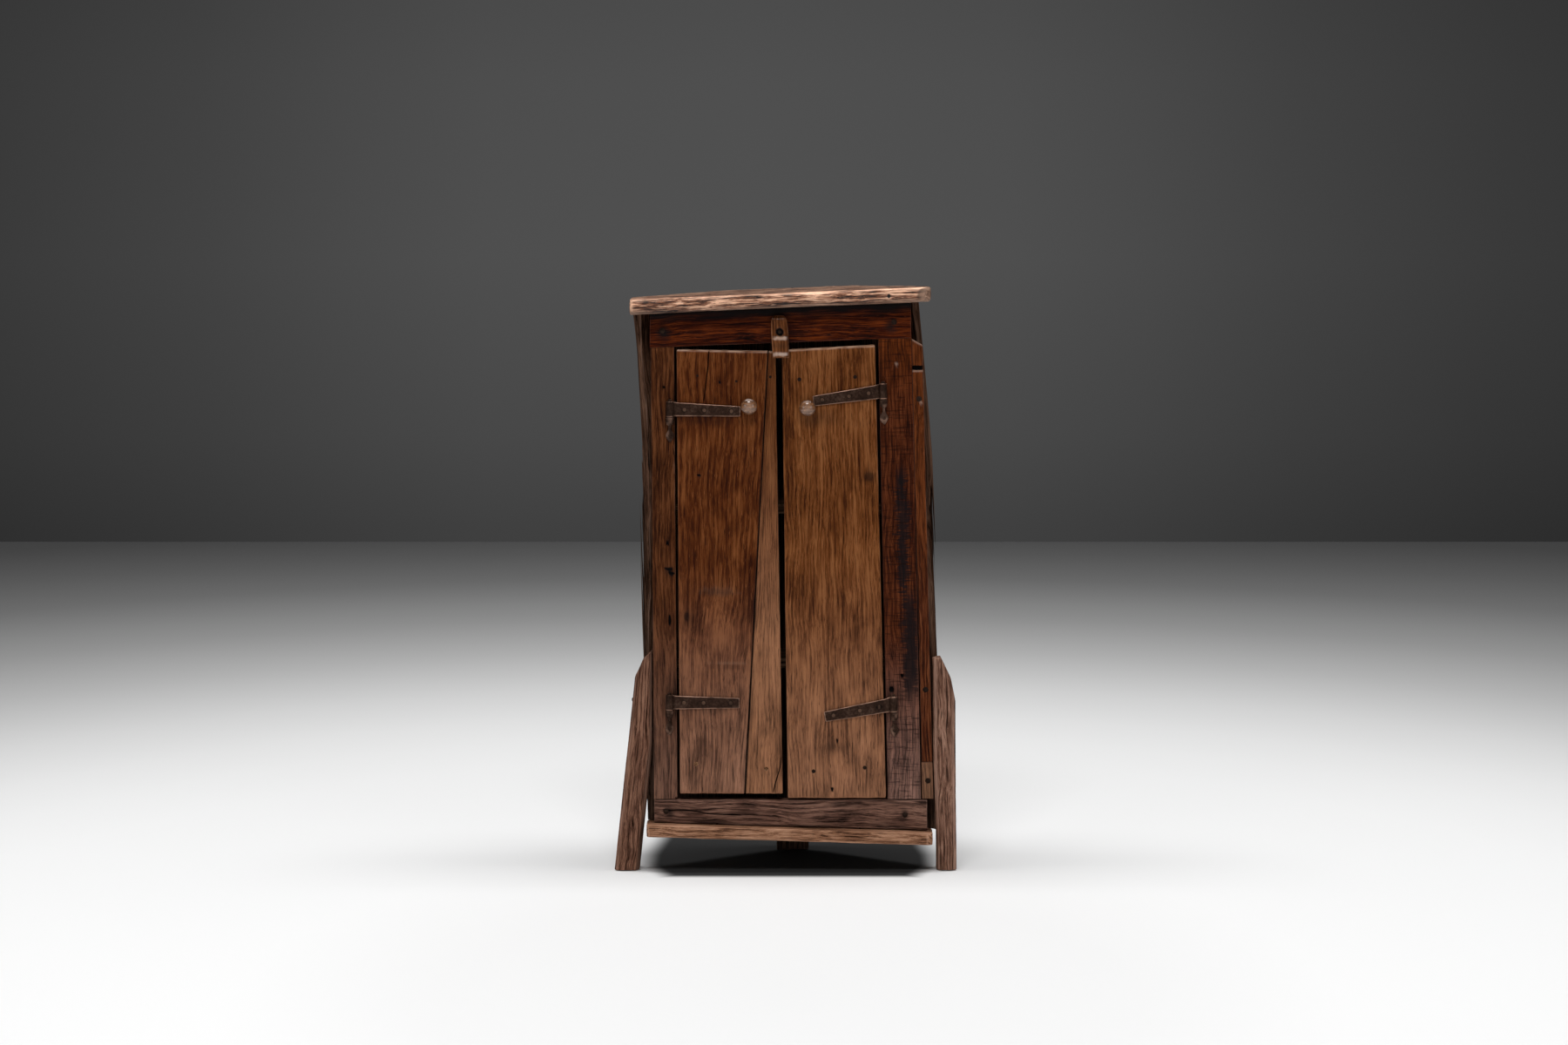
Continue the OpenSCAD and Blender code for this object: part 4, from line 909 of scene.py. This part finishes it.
def leg_place(side, foot_x, wide, splay, tall, whittle):
    """Sets a leg in place, its inner side cut to fit the frame and the plank."""
    half = wide / 2 / math.cos(splay)
    top_x = foot_x + half - tall * math.tan(splay)
    cut_wide, cut_tall = whittle
    slant = ([top_x - cut_wide, top_x - cut_wide * 0.3, top_x, top_x + SLANT_RUN],
             [tall, tall - cut_tall * 0.5, tall - cut_tall, tall - cut_tall - SLANT_DROP])
    frame_edge = left_stile_edge.corner if side < 0 else upper_batten_edge.corner
    (x0, z0), (x1, z1) = frame_edge[side, -1], frame_edge[side, 1]

    def place(a, b, c):
        y = c * LEG_D - LEG_PROUD
        z = b * tall
        for _ in range(4):
            middle = foot_x - z * math.tan(splay)
            stop = abs(x0 + (x1 - x0) * (z - z0) / (z1 - z0)) + SEAT
            swell = LEG_SWELL * (side > 0) * np.clip((z - SWELL_LOW) / SWELL_RUN, 0, 1) * (y < FRAME_T - 2)
            inner = np.where(y < FRAME_T + SEAT, np.maximum(middle - half - swell, stop), middle - half)
            out = PLANK_T + SEAT - z * math.sin(LEAN[side])
            s = (y - FRAME_T - out * math.cos(PLANK_ANGLE)) / math.sin(PLANK_ANGLE)
            face = abs(CORNER[side]) - s * math.cos(PLANK_ANGLE) + out * math.sin(PLANK_ANGLE)
            inner = np.where(s > -np.interp(z, *LIVE_EDGE[side]) - SEAT, np.maximum(inner, face), inner)
            inner = np.minimum(inner, middle + half - LEG_LEAST)
            x = inner + (middle + half - inner) * a
            z = b * np.interp(x, *slant)
        return side * x, y, z
    return place


LEFT_LEG = (-1, 258, 42, math.radians(6.2), 370, (28, 41))
RIGHT_LEG = (1, 267, 34, math.radians(0.6), 353, (24, 70))
LEFT_LEG_COLOURS = ((0.018, 0.006, 0.0025), (0.126, 0.055, 0.033), (0.3, 0.155, 0.1))
RIGHT_LEG_COLOURS = ((0.023, 0.009, 0.0045), (0.158, 0.074, 0.047), (0.37, 0.21, 0.147))
# The left leg's inner chamfer is darkened: painted shade on the side that faces away from the light.
for word, leg, colours, marks in (("left", LEFT_LEG, LEFT_LEG_COLOURS, [shade_side(0, 9, 0.5)]),
                                  ("right", RIGHT_LEG, RIGHT_LEG_COLOURS, [])):
    board("hewn", word + "_leg", "carcass", oak(word + "_leg_oak", colours, gloss=0.52),
          "oak_pale", (leg[2], leg[4], LEG_D), (1.8, 4, 1.8), leg_place(*leg), 14 + leg[0],
          edge=(LEG_CHAMFER, 1.6, LEG_CHAMFER), blunt=1.12, ragged=0.12, hewn=1.0, ridge=0.22, marks=marks)

# Shelves and cleats
# Two plain shelves inside, each on a pair of cleats nailed to the side planks. The shut doors hide
# them in the photograph, so they are as such cabinets have them.
CLEAT = 18
CLEAT_START = 46
CLEAT_LENGTH = 150
inside_oak = oak("inside_oak", ((0.012, 0.006, 0.003), (0.075, 0.038, 0.02), (0.17, 0.098, 0.06)), gloss=0.68)
for seed, word in ((20, "lower"), (21, "upper")):
    size, place = flat_board(word + "_shelf")
    board("planed", word + "_shelf", "carcass", inside_oak, "oak_dark", size, (5, 9, 4),
          place, seed, edge=1.4, hewn=0.6)


def cleat_place(side, low, high):
    """Sets a cleat in place on the inner face of a plank."""
    def place(a, b, c):
        h = low + (high - low) * a
        return along_plank(side, CLEAT_START + CLEAT_LENGTH * b, -SEAT - CLEAT * c, h)
    return place


for seed, level in ((22, "lower"), (24, "upper")):
    for side, word in ((-1, "left"), (1, "right")):
        node = f"{level}_{word}_cleat"
        low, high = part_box(node)
        board("split", node, "carcass", inside_oak, "oak_dark", (CLEAT, CLEAT_LENGTH, CLEAT),
              (3, 7, 3), cleat_place(side, low.z * 1000, high.z * 1000), seed + side, edge=1.2)

# Nails of the carcass
# Hand-forged nails with round hammered heads and long tapering shanks. Each stands where its solid
# stands, so the place and the direction of every nail are read from there.
NAIL_R = 1.6
NAIL_HEAD_R = 4.6
NAIL_HEAD_H = 2.2
NAIL_SIDES = 14
DOMED_FROM = 0.9
FLATTENED = 0.35


def iron(name, dark, middle, light, gloss=0.5, bright=0.45):
    """Forged iron: brown scale over dark metal, pitted, with edges rubbed bright."""
    f = Finish(bpy.data.materials.new(name))
    where = f.node("ShaderNodeTexCoord", None, None, 3)
    worn = f.part(f.attribute("wear"), 0)
    scale = f.noise(where, (240, 240, 240), 5, 0.65)
    cloud = f.noise(where, (60, 60, 60), 3, 0.5)
    hole = f.noise(where, (700, 700, 700), 2, 0.5)
    colour = f.ramp(scale * 0.5 + cloud * 0.5, [(0.26, dark), (0.5, middle), (0.74, light)])
    colour = f.mix(f.step(hole, 0.4, 0.3) * 0.35, colour, tinted(dark, 0.3))
    colour = f.mix(worn * f.step(cloud, 0.25, 0.5) * 0.85, colour, tinted(light, 4.5))
    height = scale * 0.8 + f.step(hole, 0.3, 0.5) * 0.6
    normal = f.node("ShaderNodeBump", None, {"Strength": 0.4, "Distance": 0.0005, "Height": height})
    coat = f.node("ShaderNodeBsdfPrincipled", None, {
        "Base Color": colour, "Roughness": gloss + (scale - 0.5) * 0.4 - worn * 0.12,
        "Metallic": bright + worn * 0.3, "Specular IOR Level": 0.1, "Normal": normal,
    })
    return f.end("ShaderNodeOutputMaterial", coat)


forged_iron = iron("forged_iron", (0.007, 0.0036, 0.0024), (0.036, 0.0175, 0.0108), (0.1, 0.058, 0.041))
nail_iron = iron("nail_iron", (0.004, 0.002, 0.0012), (0.016, 0.0078, 0.0045), (0.045, 0.025, 0.016), 0.75,
                 bright=0.04)


def tube_faces(rows, sides):
    """The faces of a row of rings, closed at both ends."""
    faces = []
    for low in range(0, (rows - 1) * sides, sides):
        for k in range(sides):
            n = (k + 1) % sides
            faces.append((low + k, low + n, low + sides + n, low + sides + k))
    last = (rows - 1) * sides
    return faces + [tuple(range(sides))[::-1], tuple(range(last, last + sides))]


def turned(profile, sides, start, way, up, wobble=0.0, seed=0):
    """A closed form turned about an axis: points and faces from pairs of radius and distance."""
    way = way / np.linalg.norm(way)
    across = np.cross(way, up)
    across /= np.linalg.norm(across)
    third = np.cross(way, across)
    angle = np.arange(sides) * 2 * math.pi / sides
    ring = np.cos(angle)[:, None] * across + np.sin(angle)[:, None] * third
    rings = [start + way * distance + ring * max(radius, 0.02) for radius, distance in profile]
    points = np.concatenate(rings)
    if wobble:
        middle = start + way * ((points - start) @ way)[:, None]
        points = middle + (points - middle) * (1 + wobble * noise(points, (2.6, 2.6, 2.6), seed))[:, None]
    return points, tube_faces(len(profile), sides)


def gathered(parts):
    """Several closed forms as one set of points and faces."""
    points, faces, count = [], [], 0
    for some, these in parts:
        points.append(some)
        faces += [tuple(i + count for i in face) for face in these]
        count += len(some)
    return np.concatenate(points), faces


def separate_solids(node):
    """The points of each separate solid in a CAD node."""
    points = solid(node)
    key, weld = np.unique(points.round(3), axis=0, return_inverse=True)
    weld = weld.ravel()
    root = np.arange(len(key))
    mesh = frame["nodes"][node].data
    pairs = np.array([weld[list(edge.vertices)] for edge in mesh.edges])
    while True:
        least = np.minimum(root[pairs[:, 0]], root[pairs[:, 1]])
        before = root.copy()
        np.minimum.at(root, pairs[:, 0], least)
        np.minimum.at(root, pairs[:, 1], least)
        root = root[root]
        if (root == before).all():
            break
    return [key[root == r] for r in np.unique(root)]


def nails(node, body, head=1.0, shank=NAIL_R, finish=None, sink=0.0, rubbed=0.0):
    """The forged nails of one node."""
    parts = []
    for count, points in enumerate(separate_solids(node)):
        middle = points.mean(0)
        way = np.linalg.svd(points - middle, full_matrices=False)[2][0]
        far = (points - middle) @ way
        off = np.linalg.norm(points - middle - far[:, None] * way, axis=1)
        if far[off.argmax()] > 0:
            way = -way
            far = -far
        outer = middle + way * far.min()
        start = outer + way * (NAIL_HEAD_H + sink)
        length = np.ptp(far) - NAIL_HEAD_H - sink
        r = NAIL_HEAD_R * head
        h = NAIL_HEAD_H * (1 if head > DOMED_FROM else FLATTENED)
        profile = [(0, -h), (r * 0.3, -h * 0.98), (r * 0.62, -h * 0.8), (r * 0.88, -h * 0.42),
                   (r, -h * 0.1), (r * 0.96, 0.0), (shank, 0.05), (shank, length - 4 * shank),
                   (shank * 0.4, length)]
        up = np.array([0.3, 0.2, 0.93]) if abs(way[2]) < 0.7 else np.array([1.0, 0.1, 0])
        parts.append(turned(profile, NAIL_SIDES, start, way, up, 0.1, seed=count))
    points, faces = gathered(parts)
    # The crowns are made paler by rubbed: partly rubbed wear, partly a painted highlight on the dome.
    crown = np.repeat([down < -0.7 * h for r, down in profile], NAIL_SIDES)
    worn = rubbed * np.tile(crown, len(parts))
    return piece("forged_" + node, points, faces, finish or nail_iron, body, "forged_iron", [node],
                 wear=np.stack([worn, worn * 0, worn * 0], 1))


for node in ("frame_nails", "top_nails", "bottom_nails", "plank_nails", "batten_nails", "cleat_nails"):
    nails(node, "carcass")
nails("leg_spikes", "carcass", head=0.85, shank=2.2, sink=1.5)

# Door boards
# The left door is one wide board with a wedge-shaped strip beside it; the right door is a single
# board. All are quartered oak, waxed, darker at the head and paler and greyer at the foot.
DOOR_EDGE = np.array([1.5, 4.4, 2.6])
DOOR_NET = (1.5, 4, 3.5)
DOOR_GRAIN = {"streaks": 0.5, "mottles": 1.5, "swirl": 0.6}
left_door_oak = oak("left_door_oak", ((0.028, 0.0048, 0.0007), (0.088, 0.0205, 0.0038), (0.19, 0.062, 0.017)),
                    [(-0.02, 0.4, (0.262, 0.13, 0.081), 0.92)], gloss=0.46, **DOOR_GRAIN)
strip_oak = oak("strip_oak", ((0.03, 0.006, 0.001), (0.098, 0.027, 0.006), (0.2, 0.075, 0.024)),
                [(0.12, 0.66, (0.28, 0.128, 0.066), 0.9)], gloss=0.5, **{**DOOR_GRAIN, "mottles": 1.2})
right_door_oak = oak("right_door_oak", ((0.036, 0.0075, 0.0012), (0.13, 0.0385, 0.0085), (0.25, 0.094, 0.03)),
                     [(-0.02, 0.42, (0.285, 0.136, 0.076), 0.8)], gloss=0.46, **DOOR_GRAIN)
upright("planed", "left_door_board", "left_door", left_door_oak, "oak_warm", DOOR_NET, 30,
        edge=DOOR_EDGE, ragged=0.5, hewn=0.5, marks=[
          worn_and_lit_head(), crack([(-121.5, 858), (-123, 830), (-128, 790), (-130.4, 772)], 1.5, 5),
          shade_side(1, 1.7, 1.0),
          pit(-138.4, 652, 2.2, 2.6, 3), scrape(-108, 462, 30, 8, 0.6, 0.06), stain(-110, 461, 26, 7, 0.4),
          pit(-159, 421, 4, 9, 1.2, 0.5), stain(-156, 418, 10, 18, 0.35),
          scrape(-86, 344, 30, 2, 0.6, 0.1), stain(-86, 338, 30, 3, 0.35), pit(-104, 803, 1.3, 1.3, 1.5),
          stain(-132, 742, 46, 12, 0.3), stain(-124, 268, 42, 10, 0.3),
      ])
upright("planed", "left_door_strip", "left_door", strip_oak, "oak_pale", (1.4, 4, 3.5), 31,
        edge=DOOR_EDGE, hewn=0.5, marks=[
          worn_and_lit_head(), crack([(-18, 131), (-13, 150), (-6.5, 172), (-4.5, 190)], 2.2, 7),
          shade_side(0, 1.7, 1.0), stain(-9, 780, 4, 22, 0.4),
      ])
upright("planed", "right_door_board", "right_door", right_door_oak, "oak_warm", DOOR_NET, 32,
        edge=DOOR_EDGE, ragged=0.5, hewn=0.5, marks=[
          worn_and_lit_head(), pit(139, 650, 11, 9, 1.0, 0.35), stain(139, 650, 13, 11, 0.4),
          crack([(160.5, 315), (161, 332), (161, 345)], 1.2, 4),
          crack([(156, 253), (157, 270), (157.5, 283)], 1.2, 4),
          pit(87, 216, 2.4, 1.8, 2.5), pit(79, 136, 2.6, 2.2, 3), stain(60, 745, 38, 16, 0.35),
          crack([(48.5, 122), (49, 140), (48.5, 160)], 1.1, 3), stain(80, 205, 22, 8, 0.3),
      ])

# Ledges and pegs
# Battens across the backs of the doors that hold the boards flat: three are nailed through from the
# front and the left door's lower one is pegged with whittled oak.
for seed, word, level in ((34, "left", "upper"), (35, "left", "lower"), (36, "right", "upper"),
                          (37, "right", "lower")):
    node = f"{word}_{level}_ledge"
    ledge_edge = Outline(node)
    size, find = lying(ledge_edge)
    board("hewn", node, word + "_door", inside_oak, "oak_dark", size, (2.4, 6, 3),
          lambda a, b, c: ledge_edge.place(b, a, c), seed, edge=3.0, hewn=0.9)

peg_parts = []
PEG_R = 4.0
for count, points in enumerate(separate_solids("left_ledge_pegs")):
    low, high = points.min(0), points.max(0)
    start = np.array([(low[0] + high[0]) / 2, low[1], (low[2] + high[2]) / 2])
    length = high[1] - low[1]
    profile = [(0, -0.1), (PEG_R * 0.6, -0.05), (PEG_R * 0.92, 0.2), (PEG_R, 0.8), (PEG_R, length - 0.6),
               (PEG_R * 0.9, length), (0, length)]
    peg_parts.append(turned(profile, 9, start, np.array([0, 1.0, 0]), np.array([0.2, 0, 1.0]), 0.05, count))
points, faces = gathered(peg_parts)
peg_oak = oak("peg_oak", ((0.04, 0.014, 0.005), (0.16, 0.075, 0.034), (0.3, 0.16, 0.09)), gloss=0.5)
piece("whittled_left_ledge_pegs", points, faces, peg_oak, "left_door", "oak_pale", ["left_ledge_pegs"],
      grain=points / 1000, wear=np.zeros_like(points), bare=np.zeros_like(points))

# Hinges
# Four forged pairs. A tapering strap, rolled round into an eye, is nailed to the door and turns on
# a pintle: a pin with a collar, a spike into the stile, and a rat tail that ends in a nailed leaf.
PIN_TOP = 16.2
EYE_R = 6.4
EYE_H = 27
STRAP_T = 3
STRAP_L = 115
STRAP_ROOT = 24
STRAP_TIP = 17
STRAP_FACE = 0.7
JOGGLE_L = 12
COIL_END = 388
DROP_BLEND = 14
FLAT_COUNT, JOGGLE_COUNT, COIL_COUNT = 60, 13, 59
LEAF_LOW = 54.6
swing = {joint["child"]: joint for joint in frame["joints"]}


def pin_of(word, level):
    """The middle of a hinge's eye and the way its pin points."""
    joint = swing[word + "_door"]
    line = np.array(joint["axis"], float)
    line *= np.sign(line[2])
    start = np.array(joint["pos_m"], float) * 1000 - PLUMB
    top = solid(f"{word}_{level}_pintle")[:, 2].max() - PIN_TOP
    return start + line * ((top - start[2]) / line[2]), line


def hinge_place(word, level, x, y, z):
    """From a hinge's own axes, x out along the strap, to the cabinet."""
    middle, line = pin_of(word, level)
    side = 1 if word == "left" else -1
    across = np.array([line[2], 0, -line[0]])
    spot = middle + np.outer(x * side, across) + np.outer(y, [0, 1, 0]) + np.outer(z, line)
    return spot.T


def strap_path():
    """The middle line of a strap from its tip, along the door and round the pin."""
    radius = EYE_R - STRAP_T / 2
    run = np.linspace(STRAP_L, JOGGLE_L, FLAT_COUNT)
    flat = np.stack([run, np.full(FLAT_COUNT, STRAP_FACE)], 1)
    share = np.linspace(0, 1, JOGGLE_COUNT + 1)[1:]
    ease = share * share * (3 - 2 * share)
    joggle = np.stack([JOGGLE_L * (1 - share), STRAP_FACE + (radius - STRAP_FACE) * ease], 1)
    turn = np.radians(np.linspace(90, COIL_END, COIL_COUNT + 1)[1:])
    coil = np.stack([np.cos(turn), np.sin(turn)], 1) * radius
    return np.concatenate([flat, joggle, coil])


way_line = strap_path()
way_steps = np.concatenate([[0], np.cumsum(np.linalg.norm(np.diff(way_line, axis=0), axis=1))])
way_turns = np.gradient(way_line, way_steps, axis=0)
way_turns /= np.linalg.norm(way_turns, axis=1, keepdims=True)
flat_end, coil_start = way_steps[FLAT_COUNT - 2], way_steps[FLAT_COUNT + JOGGLE_COUNT - 1]


def strap_place(word, level, drop):
    """Sets a strap in place: flat on the door, hanging by an angle, then rolled round its pin."""
    def place(a, b, c):
        far = b * way_steps[-1]
        x, y, tx, ty = (np.interp(far, way_steps, row) for row in (*way_line.T, *way_turns.T))
        wide = np.interp(far, [0, flat_end, coil_start, way_steps[-1]],
                         [STRAP_TIP, STRAP_ROOT - 1, EYE_H - 1.5, EYE_H])
        z = (a - 0.5) * wide
        x = x + ty * (c - 0.5) * STRAP_T
        y = y - tx * (c - 0.5) * STRAP_T
        angle = math.radians(drop) * np.clip((coil_start - far) / DROP_BLEND, 0, 1)
        turned_x = x * np.cos(angle) + z * np.sin(angle)
        turned_z = z * np.cos(angle) - x * np.sin(angle)
        return hinge_place(word, level, turned_x, y, turned_z)
    return place


def forged_bar(path, halves, sides=20, rows=6, seed=0, square=0.8):
    """A drawn-out bar along a path, with a width and a thickness at each of its points."""
    path = np.array(path, float)
    halves = np.array(halves, float)
    at = np.arange(len(path))
    fine = np.linspace(0, len(path) - 1, (len(path) - 1) * rows + 1)
    spots = np.stack([np.interp(fine, at, path[:, k]) for k in (0, 1)], 1)
    for _ in range(3):
        spots[1:-1] = (spots[:-2] + spots[1:-1] * 2 + spots[2:]) / 4
    widths = np.stack([np.interp(fine, at, halves[:, k]) for k in (0, 1)], 1)
    for _ in range(2):
        widths[1:-1] = (widths[:-2] + widths[1:-1] * 2 + widths[2:]) / 4
    run = np.gradient(spots, axis=0)
    run /= np.linalg.norm(run, axis=1, keepdims=True)
    angle = np.arange(sides) * 2 * math.pi / sides
    cos, sin = np.cos(angle), np.sin(angle)
    u = np.sign(cos) * abs(cos) ** square
    v = np.sign(sin) * abs(sin) ** square
    points = []
    for (y, z), (half_x, half_y), (dy, dz) in zip(spots, widths, run):
        points.append(np.stack([u * half_x, y + v * half_y * dz, z - v * half_y * dy], 1))
    points = np.concatenate(points)
    points += np.stack([noise(points, (4, 4, 4), seed + k) * 0.28 for k in range(3)], 1)
    return points, tube_faces(len(spots), sides)


PIN_R = 3.25
PIN_PROFILE = [(0, -PIN_TOP), (1.8, -PIN_TOP + 0.1), (3.0, -PIN_TOP + 0.8), (PIN_R, -PIN_TOP + 2),
               (PIN_R, 13.5), (5.4, 13.9), (6.3, 14.7), (6.45, 16.2), (6.1, 17.6), (6.2, 18.4),
               (6.4, 20.2), (6.0, 22.4), (5.3, 23.2), (5.5, 24.2), (4.6, 25.6), (3.0, 26.2), (0, 26.3)]
SPIKE_PATH = [(1, -19.8), (8, -19.8), (16, -19.8), (24, -19.8)]
SPIKE_HALVES = [(3.4, 3.4), (3.4, 3.4), (3.0, 3.0), (1.2, 1.2)]
TAIL_PATH = [(0.0, -24.5), (0.4, -27.5), (2.4, -31), (5.2, -34), (6.6, -37.5), (6.8, -41), (6.8, -45),
             (6.8, -49.5), (6.8, -52.5), (6.8, -LEAF_LOW)]
TAIL_HALVES = [(3.4, 3.4), (2.7, 2.9), (2.4, 2.2), (2.7, 1.7), (4.4, 1.35), (6.6, 1.3), (6.9, 1.3),
               (4.8, 1.25), (2.6, 1.1), (0.7, 0.8)]
for word, level, seed, drop in (("left", "upper", 54, 1.7), ("left", "lower", 59, 0.3),
                                ("right", "upper", 55, 6.1), ("right", "lower", 60, 8.4)):
    board("forged", f"{word}_{level}_strap", word + "_door", forged_iron, "forged_iron",
          (STRAP_ROOT, way_steps[-1], STRAP_T), (1.5, 1.7, 0.8), strap_place(word, level, drop), seed,
          edge=(2.4, 2.6, 1.3), ragged=0.4, hewn=0.35, hewn_cell=(9, 12, 9), ridge=0.1, ridge_cell=(4, 6, 4))
    pin = turned(PIN_PROFILE, 28, np.zeros(3), np.array([0, 0, -1.0]), np.array([0, 1.0, 0]), 0.015, seed)
    spike = forged_bar(SPIKE_PATH, SPIKE_HALVES, 12, 3, seed, 0.45)
    points, faces = gathered([pin, spike, forged_bar(TAIL_PATH, TAIL_HALVES, seed=seed)])
    points = hinge_place(word, level, *points.T).T
    rubbed = np.clip(noise(points, (6, 6, 6), seed) * 0.5 + 0.1, 0, 1)
    node = f"{word}_{level}_pintle"
    piece("forged_" + node, points, faces, forged_iron, "carcass", "forged_iron", [node],
          wear=np.stack([rubbed, rubbed * 0, rubbed * 0], 1))
nails("pintle_nails", "carcass", head=0.62, finish=forged_iron)
nails("left_strap_nails", "left_door", head=0.91, rubbed=0.5)
nails("right_strap_nails", "right_door", head=0.91, rubbed=0.5)
nails("left_ledge_nails", "left_door", head=0.45)
nails("right_ledge_nails", "right_door", head=0.7)

# Knobs
# Two small turned knobs, polished by hands, each with a tenon glued through the door. Their crowns
# are painted pale, partly as hand wear and partly as a painted highlight, and their rims and necks are
# darkened as painted shade.
KNOB_PROFILE = [(7.3, -0.1), (7.4, 0.8), (6.7, 2.0), (6.3, 4.2), (6.6, 6.4), (8.0, 8.4), (10.6, 10.2),
                (12.6, 11.7), (13.2, 13.2), (13.25, 14.6), (12.8, 16.0), (12.3, 16.6), (12.0, 16.9),
                (10.9, 18.3), (9.0, 19.8), (6.6, 20.9), (4.2, 21.5), (3.9, 21.3), (2.0, 21.7), (0, 21.9)]
TENON_R = 5.0
DOOR_T = 20
CROWN_OUT = 15.5
knob_oak = oak("turned_oak", ((0.05, 0.016, 0.005), (0.17, 0.071, 0.03), (0.34, 0.165, 0.08)), gloss=0.32,
               shine=0.3, streaks=0.3, mottles=0.5, flecks=0.1, bump=0.03, polish=1.0)
for word in ("left", "right"):
    points = solid(word + "_knob")
    low, high = points.min(0), points.max(0)
    face_y = high[1] - DOOR_T
    start = np.array([(low[0] + high[0]) / 2, face_y, (low[2] + high[2]) / 2])
    profile = [(0, -DOOR_T), (TENON_R * 0.9, -DOOR_T), (TENON_R, -DOOR_T + 0.8), (TENON_R, -0.2)]
    points, faces = turned(profile + KNOB_PROFILE, 56, start, np.array([0, -1.0, 0]), np.array([0.1, 0, 1.0]),
                           0.012, seed=5)
    radius = np.hypot(points[:, 0] - start[0], points[:, 2] - start[2])
    # Painted highlight with some hand wear on the pale crown; painted shade on the rim and the neck.
    crown = points[:, 1] < face_y - CROWN_OUT
    rubbed = 0.26 * np.clip((7.5 - radius) / 4, 0, 1) * crown
    painted_rim_shade = np.maximum(0.55 * np.clip((radius - 11) / 2, 0, 1), 0.5 * ~crown)
    piece(f"turned_{word}_knob", points, faces, knob_oak, word + "_door", "turned_oak", [word + "_knob"],
          grain=points / 1000, wear=np.stack([rubbed * 0, rubbed * 0, painted_rim_shade], 1),
          bare=np.stack([rubbed] * 3, 1))

# Turn button
# A whittled finger of oak on one nail, stepped so that its foot laps over both doors. Its upward-facing
# bevels are painted pale as a painted highlight, with a darker band between them, and the hollow round the
# nail is painted dark as painted shade.
BUTTON_NAIL_Z = 885
BUTTON_LEAN = 0.05
BUTTON_WIDE = 29
BUTTON_TALL = 69
BUTTON_FOOT = -42
BUTTON_FRONT = ([-42, -40.8, -39.5, -31.5, -13.5, -6.5, 17, 22, 27],
                [-17.6, -18.9, -19, -15.4, -16.4, -12.4, -12.2, -10.8, -6.5])
BUTTON_BACK = ([-42, -23.6, -22.4, 24, 27], [-7, -7, -0.5, -0.5, -3])
BUTTON_HALF = ([-42, -30, -10, 8, 18, 23, 27], [13.6, 13.6, 14.2, 14.0, 13.0, 11.4, 7.6])
button_oak = oak("button_oak", ((0.02, 0.0045, 0.001), (0.092, 0.027, 0.007), (0.2, 0.073, 0.024)),
                 gloss=0.42, streaks=0.6, polish=0.12)


def button_place(a, b, c):
    """Sets the button in place upright, leaning a little, with heights from its nail."""
    up = BUTTON_FOOT + b * BUTTON_TALL
    front, back, half = (np.interp(up, *line) for line in (BUTTON_FRONT, BUTTON_BACK, BUTTON_HALF))
    x = solid("turn_button")[:, 0]
    middle = (x.min() + x.max()) / 2 - up * BUTTON_LEAN
    return middle + (a - 0.5) * 2 * half, front + (back - front) * c, BUTTON_NAIL_Z + up


def find_on_button(x, z):
    """Where on the button a place is, across and up from its nail."""
    return x + BUTTON_WIDE / 2, z - BUTTON_FOOT


board("whittled", "turn_button", "latch", button_oak, "oak_warm", (BUTTON_WIDE, BUTTON_TALL, 12),
      (1.4, 1.6, 1.8), button_place, 50, find_on_button, edge=1.5, ragged=0.4, hewn=0.5,
      hewn_cell=(14, 20, 14),
      # Painted shade in the nail's hollow, painted highlights on the two upward-facing bevels and a darker
      # band between them.
      marks=[pit(0, 0, 6.4, 6.4, 2.0, 1.0), scrape(0, -10, 15, 3.4, 0, 0.95),
             scrape(0, -36, 15, 4.6, 0, 0.75), stain(0, -22, 14, 5, 0.3)])
nails("button_nail", "carcass", head=0.6, shank=2.2)
